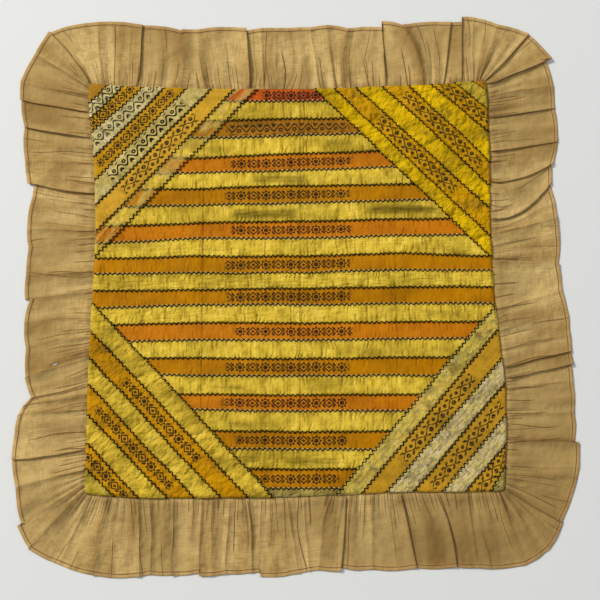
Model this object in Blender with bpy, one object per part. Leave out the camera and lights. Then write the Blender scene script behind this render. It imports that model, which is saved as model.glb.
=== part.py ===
"""A square patchwork cushion cover with a gathered ruffle, empty and lying flat on its back.

Three cut pieces: the pieced front, a plain back, and one long ruffle strip whose gathered edge
is caught between the two. Lengths below are in millimetres, +Z is up, and +Y is the top of the
cover as one looks down on its front. The finished cover is centred over the origin.
"""

from collections import namedtuple

import bmesh
import bpy
import numpy as np

# Driving dimensions, in millimetres
BACK_THICK = 1.0
FRONT_THICK = 1.2
RUFFLE_THICK = 1.0
HEM_THICK = 1.8
GAP = 0.3
SEAM_LIP = 7.0
LIP_COVER = 9.0
SEAM_CLEAR = 0.8
PLEAT_STEEP = 3.5
HEM_BOW = 0.05
OPEN_HEM = 16.0
CORNER_ROUND = 6.0
GRID_STEP = 16.5
OUTLINE_STEP = 9.0
MM = 0.001

# The corners of the front, from the middle of the cover. It was cut by eye, so it leans a little.
CORNERS = {
    "top_left": (-207.0, 204.0),
    "top_right": (199.0, 207.0),
    "bottom_right": (207.0, -204.0),
    "bottom_left": (-199.5, -207.0),
}
SIDES = ("top", "right", "bottom", "left")

# How far each seam bows out from the straight line between its corners, as (along, out)
SEAM_BOW = {
    "top": ((0, 0.0), (50, -3.5), (120, -6.2), (250, -7.0), (342, -3.8), (406, 0.0)),
    "right": ((0, 0.0), (75, 0.0), (160, -2.6), (235, 0.0), (312, 6.0), (362, 4.2), (412, 0.0)),
    "bottom": ((0, 0.0), (40, 0.8), (102, 0.4), (210, 5.0), (354, 4.2), (407, 0.0)),
    "left": ((0, 0.0), (107, -2.0), (199, -6.0), (258, -8.5), (328, -6.8), (381, -1.0), (411, 0.0)),
}

# One row for each fold of the ruffle, clockwise. seam and hem are its places along the side at
# the seam and at the hem, reach is how far out the hem lies there, step is how much further out
# the cloth after it starts, lift is the height of its crest, width is the run of its soft slope,
# and lean says which slope falls steeply: 1 the one after it, -1 the one before, 0 neither.
Fold = namedtuple("Fold", "seam hem reach step lift width lean")
FOLDS = {
    "top": (
        Fold(1, -42, 54, 0, 5.0, 9, 1),
        Fold(16, 8, 65, 0, 2.0, 12, 0),
        Fold(50, 54, 61, 0, 5.0, 10, 1),
        Fold(95, 96, 55, 1, 6.0, 10, -1),
        Fold(120, 110, 56, 0, 2.5, 7, 0),
        Fold(164, 160, 57, -3, 6.0, 9, 1),
        Fold(179, 176, 57, 0, 4.0, 6, 0),
        Fold(193, 192, 57, 0, 2.0, 6, 0),
        Fold(205, 206, 57, 0, 3.5, 6, -1),
        Fold(236, 227, 57, 0, 3.5, 7, 0),
        Fold(252, 244, 60, 0, 2.5, 6, 0),
        Fold(261, 267, 56, 0, 4.0, 7, -1),
        Fold(303, 300, 57, 7, 4.5, 7, 1),
        Fold(342, 324, 59, 0, 5.5, 9, -1),
        Fold(361, 371, 62, 0, 4.0, 8, 1),
        Fold(380, 383, 62, 6, 3.0, 6, 1),
        Fold(392, 395, 67, 0, 2.5, 6, 0),
        Fold(398, 420, 59, 0, 2.0, 8, 0),
        Fold(403, 451, 49, 0, 5.0, 8, 1),
    ),
    "right": (
        Fold(3, -24, 66, -7, 7.0, 10, 1),
        Fold(18, 6, 67, 0, 2.5, 8, 0),
        Fold(39, 29, 67, 0, 4.5, 9, 1),
        Fold(74, 64, 69, 0, 4.0, 9, 1),
        Fold(105, 86, 63, -2, 5.5, 9, 1),
        Fold(142, 106, 60, -2, 5.0, 9, 1),
        Fold(159, 143, 64, 0, 4.0, 8, 0),
        Fold(172, 158, 65, 0, 2.5, 6, 0),
        Fold(186, 190, 63, 0, 5.0, 9, -1),
        Fold(235, 216, 65, 0, 3.0, 8, 0),
        Fold(275, 261, 71, 0, 2.5, 8, 0),
        Fold(291, 276, 71, 0, 4.0, 7, 1),
        Fold(301, 288, 72, -2, 5.5, 8, 1),
        Fold(313, 306, 71, 0, 2.5, 7, 0),
        Fold(338, 336, 71, 0, 2.0, 8, 0),
        Fold(362, 366, 70, 4, 4.0, 8, -1),
        Fold(386, 389, 73, 0, 2.0, 8, 0),
        Fold(398, 411, 67, 0, 2.0, 9, 0),
        Fold(407, 441, 53, 2, 4.0, 9, 1),
    ),
    "bottom": (
        Fold(1, -42, 54, 0, 2.5, 9, 0),
        Fold(6, -18, 69, 0, 2.0, 9, 0),
        Fold(36, 28, 71, 0, 2.0, 9, 0),
        Fold(65, 49, 70, 0, 5.0, 9, -1),
        Fold(102, 87, 71, 0, 5.0, 9, -1),
        Fold(128, 129, 72, 0, 2.0, 8, 0),
        Fold(154, 160, 70, 3, 5.0, 8, -1),
        Fold(170, 181, 72, 0, 3.0, 7, 0),
        Fold(194, 189, 73, 0, 3.0, 5, 0),
        Fold(210, 200, 75, 0, 3.5, 7, 0),
        Fold(234, 236, 78, -4, 3.0, 6, 1),
        Fold(249, 245, 74, 0, 4.0, 5, 0),
        Fold(265, 270, 75, 0, 3.5, 7, 0),
        Fold(281, 283, 77, 0, 2.5, 6, 0),
        Fold(292, 295, 77, -3, 3.5, 6, 0),
        Fold(319, 321, 76, 0, 5.5, 8, 1),
        Fold(341, 343, 75, 0, 3.5, 6, 0),
        Fold(354, 353, 77, 0, 3.5, 6, 0),
        Fold(381, 398, 75, 0, 4.0, 9, 1),
        Fold(398, 430, 65, 0, 2.5, 9, 0),
    ),
    "left": (
        Fold(2, -51, 52, 0, 6.0, 10, 1),
        Fold(9, -30, 63, -4, 6.0, 8, 1),
        Fold(24, 8, 66, 0, 4.0, 9, 0),
        Fold(44, 36, 70, 0, 5.5, 9, -1),
        Fold(65, 57, 68, 0, 4.0, 7, 1),
        Fold(82, 77, 65, 0, 4.5, 7, 1),
        Fold(95, 86, 60, 0, 5.0, 6, 1),
        Fold(107, 94, 52, 0, 3.5, 6, 0),
        Fold(132, 113, 58, 0, 5.5, 8, 1),
        Fold(151, 141, 58, 0, 4.0, 8, 1),
        Fold(171, 168, 60, 0, 2.0, 8, 0),
        Fold(198, 190, 55, 5, 5.5, 8, 1),
        Fold(218, 216, 59, 0, 3.5, 8, 0),
        Fold(249, 242, 57, 0, 5.5, 8, 1),
        Fold(258, 262, 59, 0, 3.5, 8, 0),
        Fold(284, 296, 54, 0, 2.0, 9, 0),
        Fold(297, 309, 52, 7, 6.0, 8, -1),
        Fold(328, 332, 62, 0, 2.5, 9, 0),
        Fold(354, 368, 63, 0, 5.0, 9, -1),
        Fold(381, 396, 67, 1, 5.0, 9, -1),
        Fold(398, 415, 68, 0, 2.5, 8, 0),
        Fold(406, 442, 55, 0, 2.5, 8, 0),
    ),
}

# The ruffle from its gathered lip to its hem: share of the way out, height that the cloth keeps
# over the table there, and share of each fold's lift
Row = namedtuple("Row", "out base lift")
RUFFLE_ROWS = (
    Row(0.12, 0.25, 0.55),
    Row(0.35, 0.0, 1.00),
    Row(0.68, 0.0, 0.95),
    Row(1.00, 0.0, 0.60),
)

# Slack in the front, where the pieced bands stand off the back: middle, rise, half length,
# half width and the turn of its length from +X in degrees
Swell = namedtuple("Swell", "x y rise half_length half_width turn")
SWELLS = (
    Swell(150, 150, 2.2, 90, 22, -45),
    Swell(110, 120, 1.6, 110, 16, -45),
    Swell(-140, -150, 2.0, 95, 24, -45),
    Swell(-105, -108, 1.4, 110, 16, -45),
    Swell(-140, 140, 0.9, 80, 26, 45),
    Swell(145, -140, 1.2, 90, 26, 45),
    Swell(0, 3, 1.6, 130, 11, 0),
    Swell(-2, 60, 1.0, 22, 120, 0),
    Swell(-98, 20, 1.0, 12, 90, 0),
    Swell(96, -20, 0.8, 14, 80, 0),
)


def material(name, colour, roughness):
    made = bpy.data.materials.new(name)
    made.use_nodes = True
    shader = made.node_tree.nodes["Principled BSDF"]
    shader.inputs["Base Color"].default_value = (*colour, 1.0)
    shader.inputs["Roughness"].default_value = roughness
    shader.inputs["Metallic"].default_value = 0.0
    made.diffuse_color = (*colour, 1.0)
    return made


def side_frame(side):
    """The start of a side, its unit direction clockwise, its unit way out and its length."""
    names = ("top_left", "top_right", "bottom_right", "bottom_left", "top_left")
    index = SIDES.index(side)
    start = np.array(CORNERS[names[index]])
    run = np.array(CORNERS[names[index + 1]]) - start
    length = np.linalg.norm(run)
    along = run / length
    return start, along, np.array((-along[1], along[0])), length


FRAMES = {side: side_frame(side) for side in SIDES}
LENGTHS = [FRAMES[side][3] for side in SIDES]
STARTS = dict(zip(SIDES, np.cumsum([0.0] + LENGTHS[:3])))
PERIMETER = sum(LENGTHS)


def side_point(side, along, out):
    start, direction, outward, _ = FRAMES[side]
    return start + direction * along + outward * out


def seam_on_side(side, along):
    places, bows = zip(*SEAM_BOW[side])
    return side_point(side, along, np.interp(along, places, bows))


def seam_point(run):
    """A point of the panels' outline, at a run from the top left corner clockwise."""
    run %= PERIMETER
    side = max((s for s in SIDES if STARTS[s] <= run), key=STARTS.get)
    index = SIDES.index(side)
    along = run - STARTS[side]
    to_end = LENGTHS[index] - along
    if min(along, to_end) >= CORNER_ROUND:
        return seam_on_side(side, along)
    before = SIDES[index - 1] if along < to_end else side
    after = side if along < to_end else SIDES[(index + 1) % 4]
    corner = side_point(after, 0.0, 0.0)
    share = 0.5 + 0.5 * (along if along < to_end else -to_end) / CORNER_ROUND
    first = seam_on_side(before, LENGTHS[SIDES.index(before)] - CORNER_ROUND)
    last = seam_on_side(after, CORNER_ROUND)
    return (1 - share) ** 2 * first + 2 * share * (1 - share) * corner + share**2 * last


def all_folds():
    """(run at the seam, point on the hem, way out, fold) of every fold, clockwise."""
    return [
        (
            STARTS[side] + fold.seam,
            side_point(side, fold.hem, fold.reach),
            FRAMES[side][2],
            fold,
        )
        for side in SIDES
        for fold in FOLDS[side]
    ]


def stations():
    """Where the ruffle's cross sections stand: (seam point, hem point, height of the folds)."""
    folds = all_folds()
    for index, (run, hem, outward, fold) in enumerate(folds):
        next_run, next_hem, _, following = folds[(index + 1) % len(folds)]
        if next_run < run:
            next_run += PERIMETER
        hem_from = hem + outward * fold.step
        length = np.linalg.norm(next_hem - hem_from)
        after = PLEAT_STEEP if fold.lean > 0 else fold.width
        before = PLEAT_STEEP if following.lean < 0 else following.width
        fit = min(1.0, 0.92 * length / (after + before))
        after *= fit / length
        before *= fit / length
        shares = {0.0: fold.lift, after: 0.0, 1 - before: 0.0}
        if fold.lean <= 0:
            shares[after / 2] = fold.lift / 2
        if following.lean >= 0:
            shares[1 - before / 2] = following.lift / 2
        if (1 - before - after) * length > OPEN_HEM:
            shares[(1 + after - before) / 2] = 0.0
        chord = next_hem - hem_from
        bow = np.array((-chord[1], chord[0])) * HEM_BOW
        for share in sorted(shares):
            rounded = hem_from + chord * share + bow * 4 * share * (1 - share)
            yield seam_point(run + (next_run - run) * share), rounded if share else hem, shares[share]


def ruffle_rings():
    """Rings of points on the ruffle's underside, from the lip between the panels to the hem."""
    lip_height = BACK_THICK + GAP
    half = np.mean(LENGTHS) / 2
    rings = [[] for _ in range(2 + len(RUFFLE_ROWS))]
    for seam, hem, lift in reversed(list(stations())):
        edge = seam * (1 + SEAM_CLEAR / half)
        rings[0].append((*(seam * (1 - SEAM_LIP / half)), lip_height))
        rings[1].append((*edge, lip_height))
        for ring, row in zip(rings[2:], RUFFLE_ROWS):
            ring.append((*(edge + (hem - edge) * row.out), row.base + row.lift * lift))
    return rings


def cloth_object(name, rings, closed, thick, look, thin_share=1.0):
    """A sheet over rows of points, given its thickness upwards from them."""
    made = bmesh.new()
    rows = [[made.verts.new([c * MM for c in point]) for point in ring] for ring in rings]
    count = len(rows[0])
    for inner, outer in zip(rows, rows[1:]):
        for i in range(count if closed else count - 1):
            j = (i + 1) % count
            made.faces.new((inner[i], outer[i], outer[j], inner[j]))
    mesh = bpy.data.meshes.new(name)
    made.to_mesh(mesh)
    made.free()
    mesh.shade_smooth()
    obj = bpy.data.objects.new(name, mesh)
    bpy.context.scene.collection.objects.link(obj)
    obj.data.materials.append(look)
    hem = obj.vertex_groups.new(name="hem")
    hem.add(range(count * (len(rings) - 1), count * len(rings)), 1.0, "REPLACE")
    thickness = obj.modifiers.new("thickness", "SOLIDIFY")
    thickness.thickness = thick * MM
    thickness.offset = 1.0
    thickness.use_rim = True
    if thin_share < 1.0:
        thickness.vertex_group = "hem"
        thickness.thickness_vertex_group = thin_share
    return obj


def make_ruffle(look):
    """One long strip, gathered into the seam all round, hemmed along its outer edge."""
    rings = ruffle_rings()
    share = RUFFLE_THICK / HEM_THICK
    return cloth_object("ruffle", rings, True, HEM_THICK, look, share)


def graded(length):
    """Places across the front: close by its seams, then even steps."""
    inner = np.linspace(2 * LIP_COVER, length - 2 * LIP_COVER, round(length / GRID_STEP) - 1)
    return np.concatenate(([0.0, LIP_COVER], inner, [length - LIP_COVER, length])) / length


def swell_at(x, y):
    rise = 0.0
    for swell in SWELLS:
        turn = np.radians(swell.turn)
        dx, dy = x - swell.x, y - swell.y
        long = (dx * np.cos(turn) + dy * np.sin(turn)) / swell.half_length
        wide = (dy * np.cos(turn) - dx * np.sin(turn)) / swell.half_width
        rise += swell.rise * np.exp(-(long**2) - wide**2)
    return rise


def panel_point(across, down):
    """A point of the panel between its four bowed seams, from its shares across and down."""
    top = seam_on_side("top", across * LENGTHS[0])
    bottom = seam_on_side("bottom", (1 - across) * LENGTHS[2])
    left = seam_on_side("left", (1 - down) * LENGTHS[3])
    right = seam_on_side("right", down * LENGTHS[1])
    corners = [np.array(CORNERS[n]) for n in ("top_left", "top_right", "bottom_left", "bottom_right")]
    upper = corners[0] * (1 - across) + corners[1] * across
    lower = corners[2] * (1 - across) + corners[3] * across
    between = upper * (1 - down) + lower * down
    return top * (1 - down) + bottom * down + left * (1 - across) + right * across - between


def make_front(look):
    """The pieced front: over the ruffle's lip at its seams, slack over the back inside them."""
    over_lip = BACK_THICK + GAP + RUFFLE_THICK + GAP
    over_back = BACK_THICK + GAP
    across, down = graded(LENGTHS[0]), graded(LENGTHS[1])
    rings = []
    for v in down:
        ring = []
        for u in across:
            x, y = panel_point(u, v)
            inset = min(u, 1 - u, v, 1 - v) * LENGTHS[0]
            inside = float(np.clip((inset - LIP_COVER) / LIP_COVER, 0.0, 1.0))
            height = over_lip + inside * (over_back - over_lip + swell_at(x, y))
            ring.append((x, y, height))
        rings.append(ring)
    return cloth_object("front_panel", rings, False, FRONT_THICK, look)


def make_back(look):
    """The plain back, flat on the table, cut to the same outline."""
    made = bmesh.new()
    runs = np.arange(0.0, PERIMETER, OUTLINE_STEP)
    outline = [made.verts.new((*(seam_point(run) * MM), 0.0)) for run in reversed(runs)]
    face = made.faces.new(outline)
    lifted = bmesh.ops.extrude_face_region(made, geom=[face])["geom"]
    top = [part for part in lifted if isinstance(part, bmesh.types.BMVert)]
    bmesh.ops.translate(made, verts=top, vec=(0.0, 0.0, BACK_THICK * MM))
    bmesh.ops.recalc_face_normals(made, faces=made.faces)
    mesh = bpy.data.meshes.new("back_panel")
    made.to_mesh(mesh)
    made.free()
    obj = bpy.data.objects.new("back_panel", mesh)
    bpy.context.scene.collection.objects.link(obj)
    obj.data.materials.append(look)
    return obj


def centre_over_origin(objects):
    """Slides the whole cover so that the middle of its outline is over the origin."""
    bpy.context.view_layer.update()
    graph = bpy.context.evaluated_depsgraph_get()
    corners = np.array([c[:] for o in objects for c in o.evaluated_get(graph).bound_box])
    middle = (corners.min(axis=0) + corners.max(axis=0)) / 2
    for obj in objects:
        obj.location = (-middle[0], -middle[1], 0.0)


def main():
    for old in list(bpy.data.objects):
        bpy.data.objects.remove(old)
    tan_cotton = material("tan_cotton", (0.48, 0.33, 0.14), 0.9)
    pieced_silk = material("pieced_silk", (0.62, 0.38, 0.05), 0.45)
    lining_cotton = material("back_cotton", (0.45, 0.32, 0.15), 0.9)
    pieces = [make_back(lining_cotton), make_front(pieced_silk), make_ruffle(tan_cotton)]
    centre_over_origin(pieces)


main()
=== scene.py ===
"""The looks of a patchwork cushion cover with a gathered ruffle, lying flat on its back.

Lengths are in millimetres, but those inside the materials are in metres, as their coordinates
are, unless a comment says otherwise. Places on the cover are counted from the middle of its
patchwork front, +X to the right and +Y to the top, and put_in_frame carries them to the frame.
"""

from collections import namedtuple

import bpy
import numpy as np
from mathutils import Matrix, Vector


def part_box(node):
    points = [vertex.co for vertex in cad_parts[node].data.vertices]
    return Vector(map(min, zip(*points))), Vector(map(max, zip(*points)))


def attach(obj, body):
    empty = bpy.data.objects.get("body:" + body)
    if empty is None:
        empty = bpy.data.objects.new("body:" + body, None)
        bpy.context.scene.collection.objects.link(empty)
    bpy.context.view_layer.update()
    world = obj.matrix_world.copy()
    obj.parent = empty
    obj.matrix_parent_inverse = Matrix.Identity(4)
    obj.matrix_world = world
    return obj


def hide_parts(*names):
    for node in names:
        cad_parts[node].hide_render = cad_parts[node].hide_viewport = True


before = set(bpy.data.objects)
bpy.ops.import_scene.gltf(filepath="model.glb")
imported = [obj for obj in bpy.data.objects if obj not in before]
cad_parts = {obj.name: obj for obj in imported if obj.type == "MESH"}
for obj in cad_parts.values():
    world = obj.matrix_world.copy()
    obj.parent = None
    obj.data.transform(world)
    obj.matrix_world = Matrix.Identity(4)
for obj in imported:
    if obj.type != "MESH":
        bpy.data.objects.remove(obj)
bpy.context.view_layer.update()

MM = 0.001

# The camera: how far above the cover it stands, its tilt, how many picture widths of focal
# length it has, and the place on the cover that its middle sees
CAMERA_AWAY = 850.0
CAMERA_TILT = 6.2
CAMERA_FOCAL = 857.0 / 600.0
CAMERA_LOOK = (9.0, -17.8)
SENSOR = 36.0

# The floor and the light, in metres and watts
FLOOR_HALF = 4.0
FLOOR_COLOUR = (0.735, 0.735, 0.72)
SKY_COLOUR = (0.97, 0.985, 1.0, 1.0)
SKY_STRENGTH = 0.48
WINDOW_AT = (-3.3, 2.5, 3.3)
WINDOW_SIZE = 1.2
WINDOW_POWER = 245.0
WINDOW_COLOUR = (1.0, 0.985, 0.96)

# The corners of the front, how far each seam bows out from the line between them at places along
# it, and how far from a corner its rounding starts
CORNERS = {
    "top_left": (-207.0, 204.0),
    "top_right": (199.0, 207.0),
    "bottom_right": (207.0, -204.0),
    "bottom_left": (-199.5, -207.0),
}
SIDES = ("top", "right", "bottom", "left")
SEAM_BOW = {
    "top": ((0, 0.0), (50, -3.5), (120, -6.2), (250, -7.0), (342, -3.8), (406, 0.0)),
    "right": ((0, 0.0), (75, 0.0), (160, -2.6), (235, 0.0), (312, 6.0), (362, 4.2), (412, 0.0)),
    "bottom": ((0, 0.0), (40, 0.8), (102, 0.4), (210, 5.0), (354, 4.2), (407, 0.0)),
    "left": ((0, 0.0), (107, -2.0), (199, -6.0), (258, -8.5), (328, -6.8), (381, -1.0), (411, 0.0)),
}
CORNER_ROUND = 6.0

# One row for each fold of the ruffle, clockwise. seam and hem are its places along the side,
# reach is how far out its hem lies, step is how much further out the cloth after it starts,
# lift is its crest's height before it is pressed, width its soft slope's run, and lean the side
# that falls steeply.
Fold = namedtuple("Fold", "seam hem reach step lift width lean")
FOLDS = {
    "top": (
        Fold(1, -42, 54, 0, 5.0, 9, 1),
        Fold(16, 8, 65, 0, 2.0, 12, 0),
        Fold(50, 54, 61, 0, 5.0, 10, 1),
        Fold(95, 96, 55, 1, 6.0, 10, -1),
        Fold(120, 110, 56, 0, 2.5, 7, 0),
        Fold(164, 160, 57, -3, 6.0, 9, 1),
        Fold(179, 176, 57, 0, 4.0, 6, 0),
        Fold(193, 192, 57, 0, 2.0, 6, 0),
        Fold(205, 206, 57, 0, 3.5, 6, -1),
        Fold(236, 227, 57, 0, 3.5, 7, 0),
        Fold(252, 244, 60, 0, 2.5, 6, 0),
        Fold(261, 267, 56, 0, 4.0, 7, -1),
        Fold(303, 300, 57, 7, 4.5, 7, 1),
        Fold(342, 324, 59, 0, 5.5, 9, -1),
        Fold(361, 371, 62, 0, 4.0, 8, 1),
        Fold(380, 383, 62, 6, 3.0, 6, 1),
        Fold(392, 395, 67, 0, 2.5, 6, 0),
        Fold(398, 420, 59, 0, 2.0, 8, 0),
        Fold(403, 451, 49, 0, 5.0, 8, 1),
    ),
    "right": (
        Fold(3, -24, 66, -7, 7.0, 10, 1),
        Fold(18, 6, 67, 0, 2.5, 8, 0),
        Fold(39, 29, 67, 0, 4.5, 9, 1),
        Fold(74, 64, 69, 0, 4.0, 9, 1),
        Fold(105, 86, 63, -2, 5.5, 9, 1),
        Fold(142, 106, 60, -2, 5.0, 9, 1),
        Fold(159, 143, 64, 0, 4.0, 8, 0),
        Fold(172, 158, 65, 0, 2.5, 6, 0),
        Fold(186, 190, 63, 0, 5.0, 9, -1),
        Fold(235, 216, 65, 0, 3.0, 8, 0),
        Fold(275, 261, 71, 0, 2.5, 8, 0),
        Fold(291, 276, 71, 0, 4.0, 7, 1),
        Fold(301, 288, 72, -2, 5.5, 8, 1),
        Fold(313, 306, 71, 0, 2.5, 7, 0),
        Fold(338, 336, 71, 0, 2.0, 8, 0),
        Fold(362, 366, 70, 4, 4.0, 8, -1),
        Fold(386, 389, 73, 0, 2.0, 8, 0),
        Fold(398, 411, 67, 0, 2.0, 9, 0),
        Fold(407, 441, 53, 2, 4.0, 9, 1),
    ),
    "bottom": (
        Fold(1, -42, 54, 0, 2.5, 9, 0),
        Fold(6, -18, 69, 0, 2.0, 9, 0),
        Fold(36, 28, 71, 0, 2.0, 9, 0),
        Fold(65, 49, 70, 0, 5.0, 9, -1),
        Fold(102, 87, 71, 0, 5.0, 9, -1),
        Fold(128, 129, 72, 0, 2.0, 8, 0),
        Fold(154, 160, 70, 3, 5.0, 8, -1),
        Fold(170, 181, 72, 0, 3.0, 7, 0),
        Fold(194, 189, 73, 0, 3.0, 5, 0),
        Fold(210, 200, 75, 0, 3.5, 7, 0),
        Fold(234, 236, 78, -4, 3.0, 6, 1),
        Fold(249, 245, 74, 0, 4.0, 5, 0),
        Fold(265, 270, 75, 0, 3.5, 7, 0),
        Fold(281, 283, 77, 0, 2.5, 6, 0),
        Fold(292, 295, 77, -3, 3.5, 6, 0),
        Fold(319, 321, 76, 0, 5.5, 8, 1),
        Fold(341, 343, 75, 0, 3.5, 6, 0),
        Fold(354, 353, 77, 0, 3.5, 6, 0),
        Fold(381, 398, 75, 0, 4.0, 9, 1),
        Fold(398, 430, 65, 0, 2.5, 9, 0),
    ),
    "left": (
        Fold(2, -51, 52, 0, 6.0, 10, 1),
        Fold(9, -30, 63, -4, 6.0, 8, 1),
        Fold(24, 8, 66, 0, 4.0, 9, 0),
        Fold(44, 36, 70, 0, 5.5, 9, -1),
        Fold(65, 57, 68, 0, 4.0, 7, 1),
        Fold(82, 77, 65, 0, 4.5, 7, 1),
        Fold(95, 86, 60, 0, 5.0, 6, 1),
        Fold(107, 94, 52, 0, 3.5, 6, 0),
        Fold(132, 113, 58, 0, 5.5, 8, 1),
        Fold(151, 141, 58, 0, 4.0, 8, 1),
        Fold(171, 168, 60, 0, 2.0, 8, 0),
        Fold(198, 190, 55, 5, 5.5, 8, 1),
        Fold(218, 216, 59, 0, 3.5, 8, 0),
        Fold(249, 242, 57, 0, 5.5, 8, 1),
        Fold(258, 262, 59, 0, 3.5, 8, 0),
        Fold(284, 296, 54, 0, 2.0, 9, 0),
        Fold(297, 309, 52, 7, 6.0, 8, -1),
        Fold(328, 332, 62, 0, 2.5, 9, 0),
        Fold(354, 368, 63, 0, 5.0, 9, -1),
        Fold(381, 396, 67, 1, 5.0, 9, -1),
        Fold(398, 415, 68, 0, 2.5, 8, 0),
        Fold(406, 442, 55, 0, 2.5, 8, 0),
    ),
}
# The folds whose creases bend on their way out: which fold of its side, and how far sideways
Bend = namedtuple("Bend", "side number sideways")
BENDS = (
    Bend("top", 0, 2.5),
    Bend("top", 3, 4.0),
    Bend("top", 8, 6.0),
    Bend("top", 11, -3.0),
    Bend("top", 13, 6.0),
    Bend("right", 4, 5.0),
    Bend("right", 5, 11.0),
    Bend("bottom", 3, -2.0),
    Bend("bottom", 11, -2.0),
    Bend("left", 10, 1.5),
)
# How far the hem bows out between two folds, as a share of the way, and how far it lies past
# the reach of its folds
HEM_BOW = 0.05
HEM_OUT = 1.1
# The rows of points across the ruffle: an even part, closer near the seam, and then those at set
# distances from the hem, which start this far from it
BODY_ROWS = 27
HEM_BAND = 11.0
HEM_ROWS = (8.5, 6.6, 5.4, 4.8, 4.3, 3.7, 3.0, 1.8, 0.7, 0.0)
# The ruffle's lip runs under the front's edge: how far it goes in, how far out its seam lies, and
# how high its two edges are
HALF_FRONT = 203.0
LIP_IN = 7.0
SEAM_OUT = 0.8
LIP_TOPS = (1.95, 2.05)
RUFFLE_THICK = 0.45
# A point's distance to the nearest fold where it has none within reach
FAR_FROM_FOLD = 9.0
# How far a pleat's steep side runs, and the share of its height that the pressed cloth keeps
PLEAT_STEEP = 0.9
PRESSED = 0.5
# How high the ruffle starts at the lip and how far it takes to come down, how deep the hem is
# turned, and how far in its stitches lie
LIP_HEIGHT = 1.5
LIP_RUN = 11.0
HEM_DEEP = 4.6
HEM_STITCH = 3.7

# The level seams between the rows of ribbon in the middle, from the top: their heights at five
# places across. Pale loops show under the stitches of every second one.
LevelSeam = namedtuple("LevelSeam", "far_left left middle right far_right")
LEVEL_AT = (-190.0, -90.0, 9.0, 108.0, 195.0)
MIDDLE_X = LEVEL_AT[2]
LEVEL_SEAMS = (
    LevelSeam(185.6, 185.6, 185.2, 186.0, 186.0),
    LevelSeam(164.0, 164.4, 166.9, 167.2, 167.2),
    LevelSeam(145.0, 146.7, 150.1, 151.5, 151.5),
    LevelSeam(125.0, 126.5, 130.9, 133.9, 134.0),
    LevelSeam(109.0, 111.2, 113.4, 117.1, 117.0),
    LevelSeam(92.0, 94.7, 97.1, 99.3, 100.0),
    LevelSeam(75.0, 77.8, 79.8, 82.5, 83.0),
    LevelSeam(55.5, 59.8, 61.2, 63.6, 65.0),
    LevelSeam(38.9, 43.8, 44.4, 47.2, 47.8),
    LevelSeam(23.6, 25.8, 26.0, 29.6, 26.4),
    LevelSeam(8.1, 8.6, 9.0, 12.6, 11.7),
    LevelSeam(-8.5, -7.8, -6.5, -5.1, -4.9),
    LevelSeam(-26.4, -22.8, -22.5, -21.4, -21.0),
    LevelSeam(-43.2, -40.5, -40.9, -39.8, -39.4),
    LevelSeam(-60.0, -57.5, -57.8, -56.6, -55.6),
    LevelSeam(-76.0, -75.5, -76.3, -74.9, -74.0),
    LevelSeam(-92.0, -91.9, -92.9, -92.5, -92.0),
    LevelSeam(-110.0, -110.4, -111.9, -110.8, -110.0),
    LevelSeam(-125.0, -125.7, -127.3, -127.0, -127.0),
    LevelSeam(-146.0, -146.0, -147.5, -145.8, -145.0),
    LevelSeam(-163.8, -163.8, -163.9, -164.4, -164.4),
    LevelSeam(-182.9, -182.9, -183.4, -182.0, -182.0),
    LevelSeam(-201.0, -201.0, -201.4, -200.5, -200.5),
)

# The ribbons between the level seams, in pairs from the top: the printed one's kind, where its
# printing starts and ends and its tone, and the kind and tone of the one below it. A tone above
# 0 is brighter.
RibbonPair = namedtuple("RibbonPair", "kind print_from print_to tone kind_below tone_below")
RIBBON_PAIRS = (
    RibbonPair("flame", -29, 46, 0.0, "yellow", -0.2),
    RibbonPair("brown_print", -66, 59, 0.0, "yellow", -0.1),
    RibbonPair("orange_print", -62, 62, -0.2, "yellow", 0.1),
    RibbonPair("amber_print", -67, 60, 0.0, "yellow", -0.1),
    RibbonPair("orange_print", -61, 62, 0.1, "yellow", 0.2),
    RibbonPair("amber_print", -66, 59, 0.1, "yellow", 0.0),
    RibbonPair("amber_print", -64, 60, 0.0, "yellow", 0.2),
    RibbonPair("orange_print", -57, 62, 0.1, "yellow", 0.1),
    RibbonPair("amber_print", -65, 58, -0.1, "yellow", 0.0),
    RibbonPair("orange_print", -68, 56, -0.1, "yellow", 0.1),
    RibbonPair("amber_print", -54, 56, -0.1, "yellow", -0.1),
    RibbonPair("amber_print", -36, 48, -0.3, "straw", 0.0),
)

# The slanting bands across each corner, from the long one inwards: how far from the corner
# each seam starts on the level edge and ends on the upright one
CORNER_SEAMS = {
    "top_left": ((173, 180), (150, 155), (126, 128), (101, 102), (79, 78), (57, 52), (36, 38), (21, 22)),
    "top_right": ((176, 183), (156, 162), (134, 133), (107, 110), (80, 86), (57, 54), (34, 31), (15, 11)),
    "bottom_right": ((163, 181), (139, 158), (115, 130), (89, 104), (61, 74), (38, 46), (14, 25)),
    "bottom_left": ((183, 187), (159, 159), (133, 133), (107, 107), (81, 78), (53, 50), (30, 26)),
}
CORNER_RIBBONS = {
    "top_left": ("veil", "faded_slant", "cream_print", "amber_dense", "cream_dense", "amber_dense",
                 "cream_dense", "rust"),
    "top_right": ("mustard", "gold_print", "mustard", "gold_print", "mustard", "gold_print",
                  "lemon", "rust"),
    "bottom_right": ("torn_veil", "ochre_print", "worn", "ochre_print", "worn", "ochre_print", "straw"),
    "bottom_left": ("old_gold", "amber_slant", "old_gold", "amber_slant", "old_gold",
                    "amber_slant", "lemon"),
}
# The kinds whose edges lie over their neighbours'
OVERLAPPING = ("yellow", "old_gold", "mustard", "lemon", "cream_print", "cream_dense", "worn",
               "straw", "veil", "torn_veil")
CORNER_QUILT = {"top_left": 0.15, "top_right": 1.0, "bottom_right": 0.2, "bottom_left": 0.8}

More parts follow.
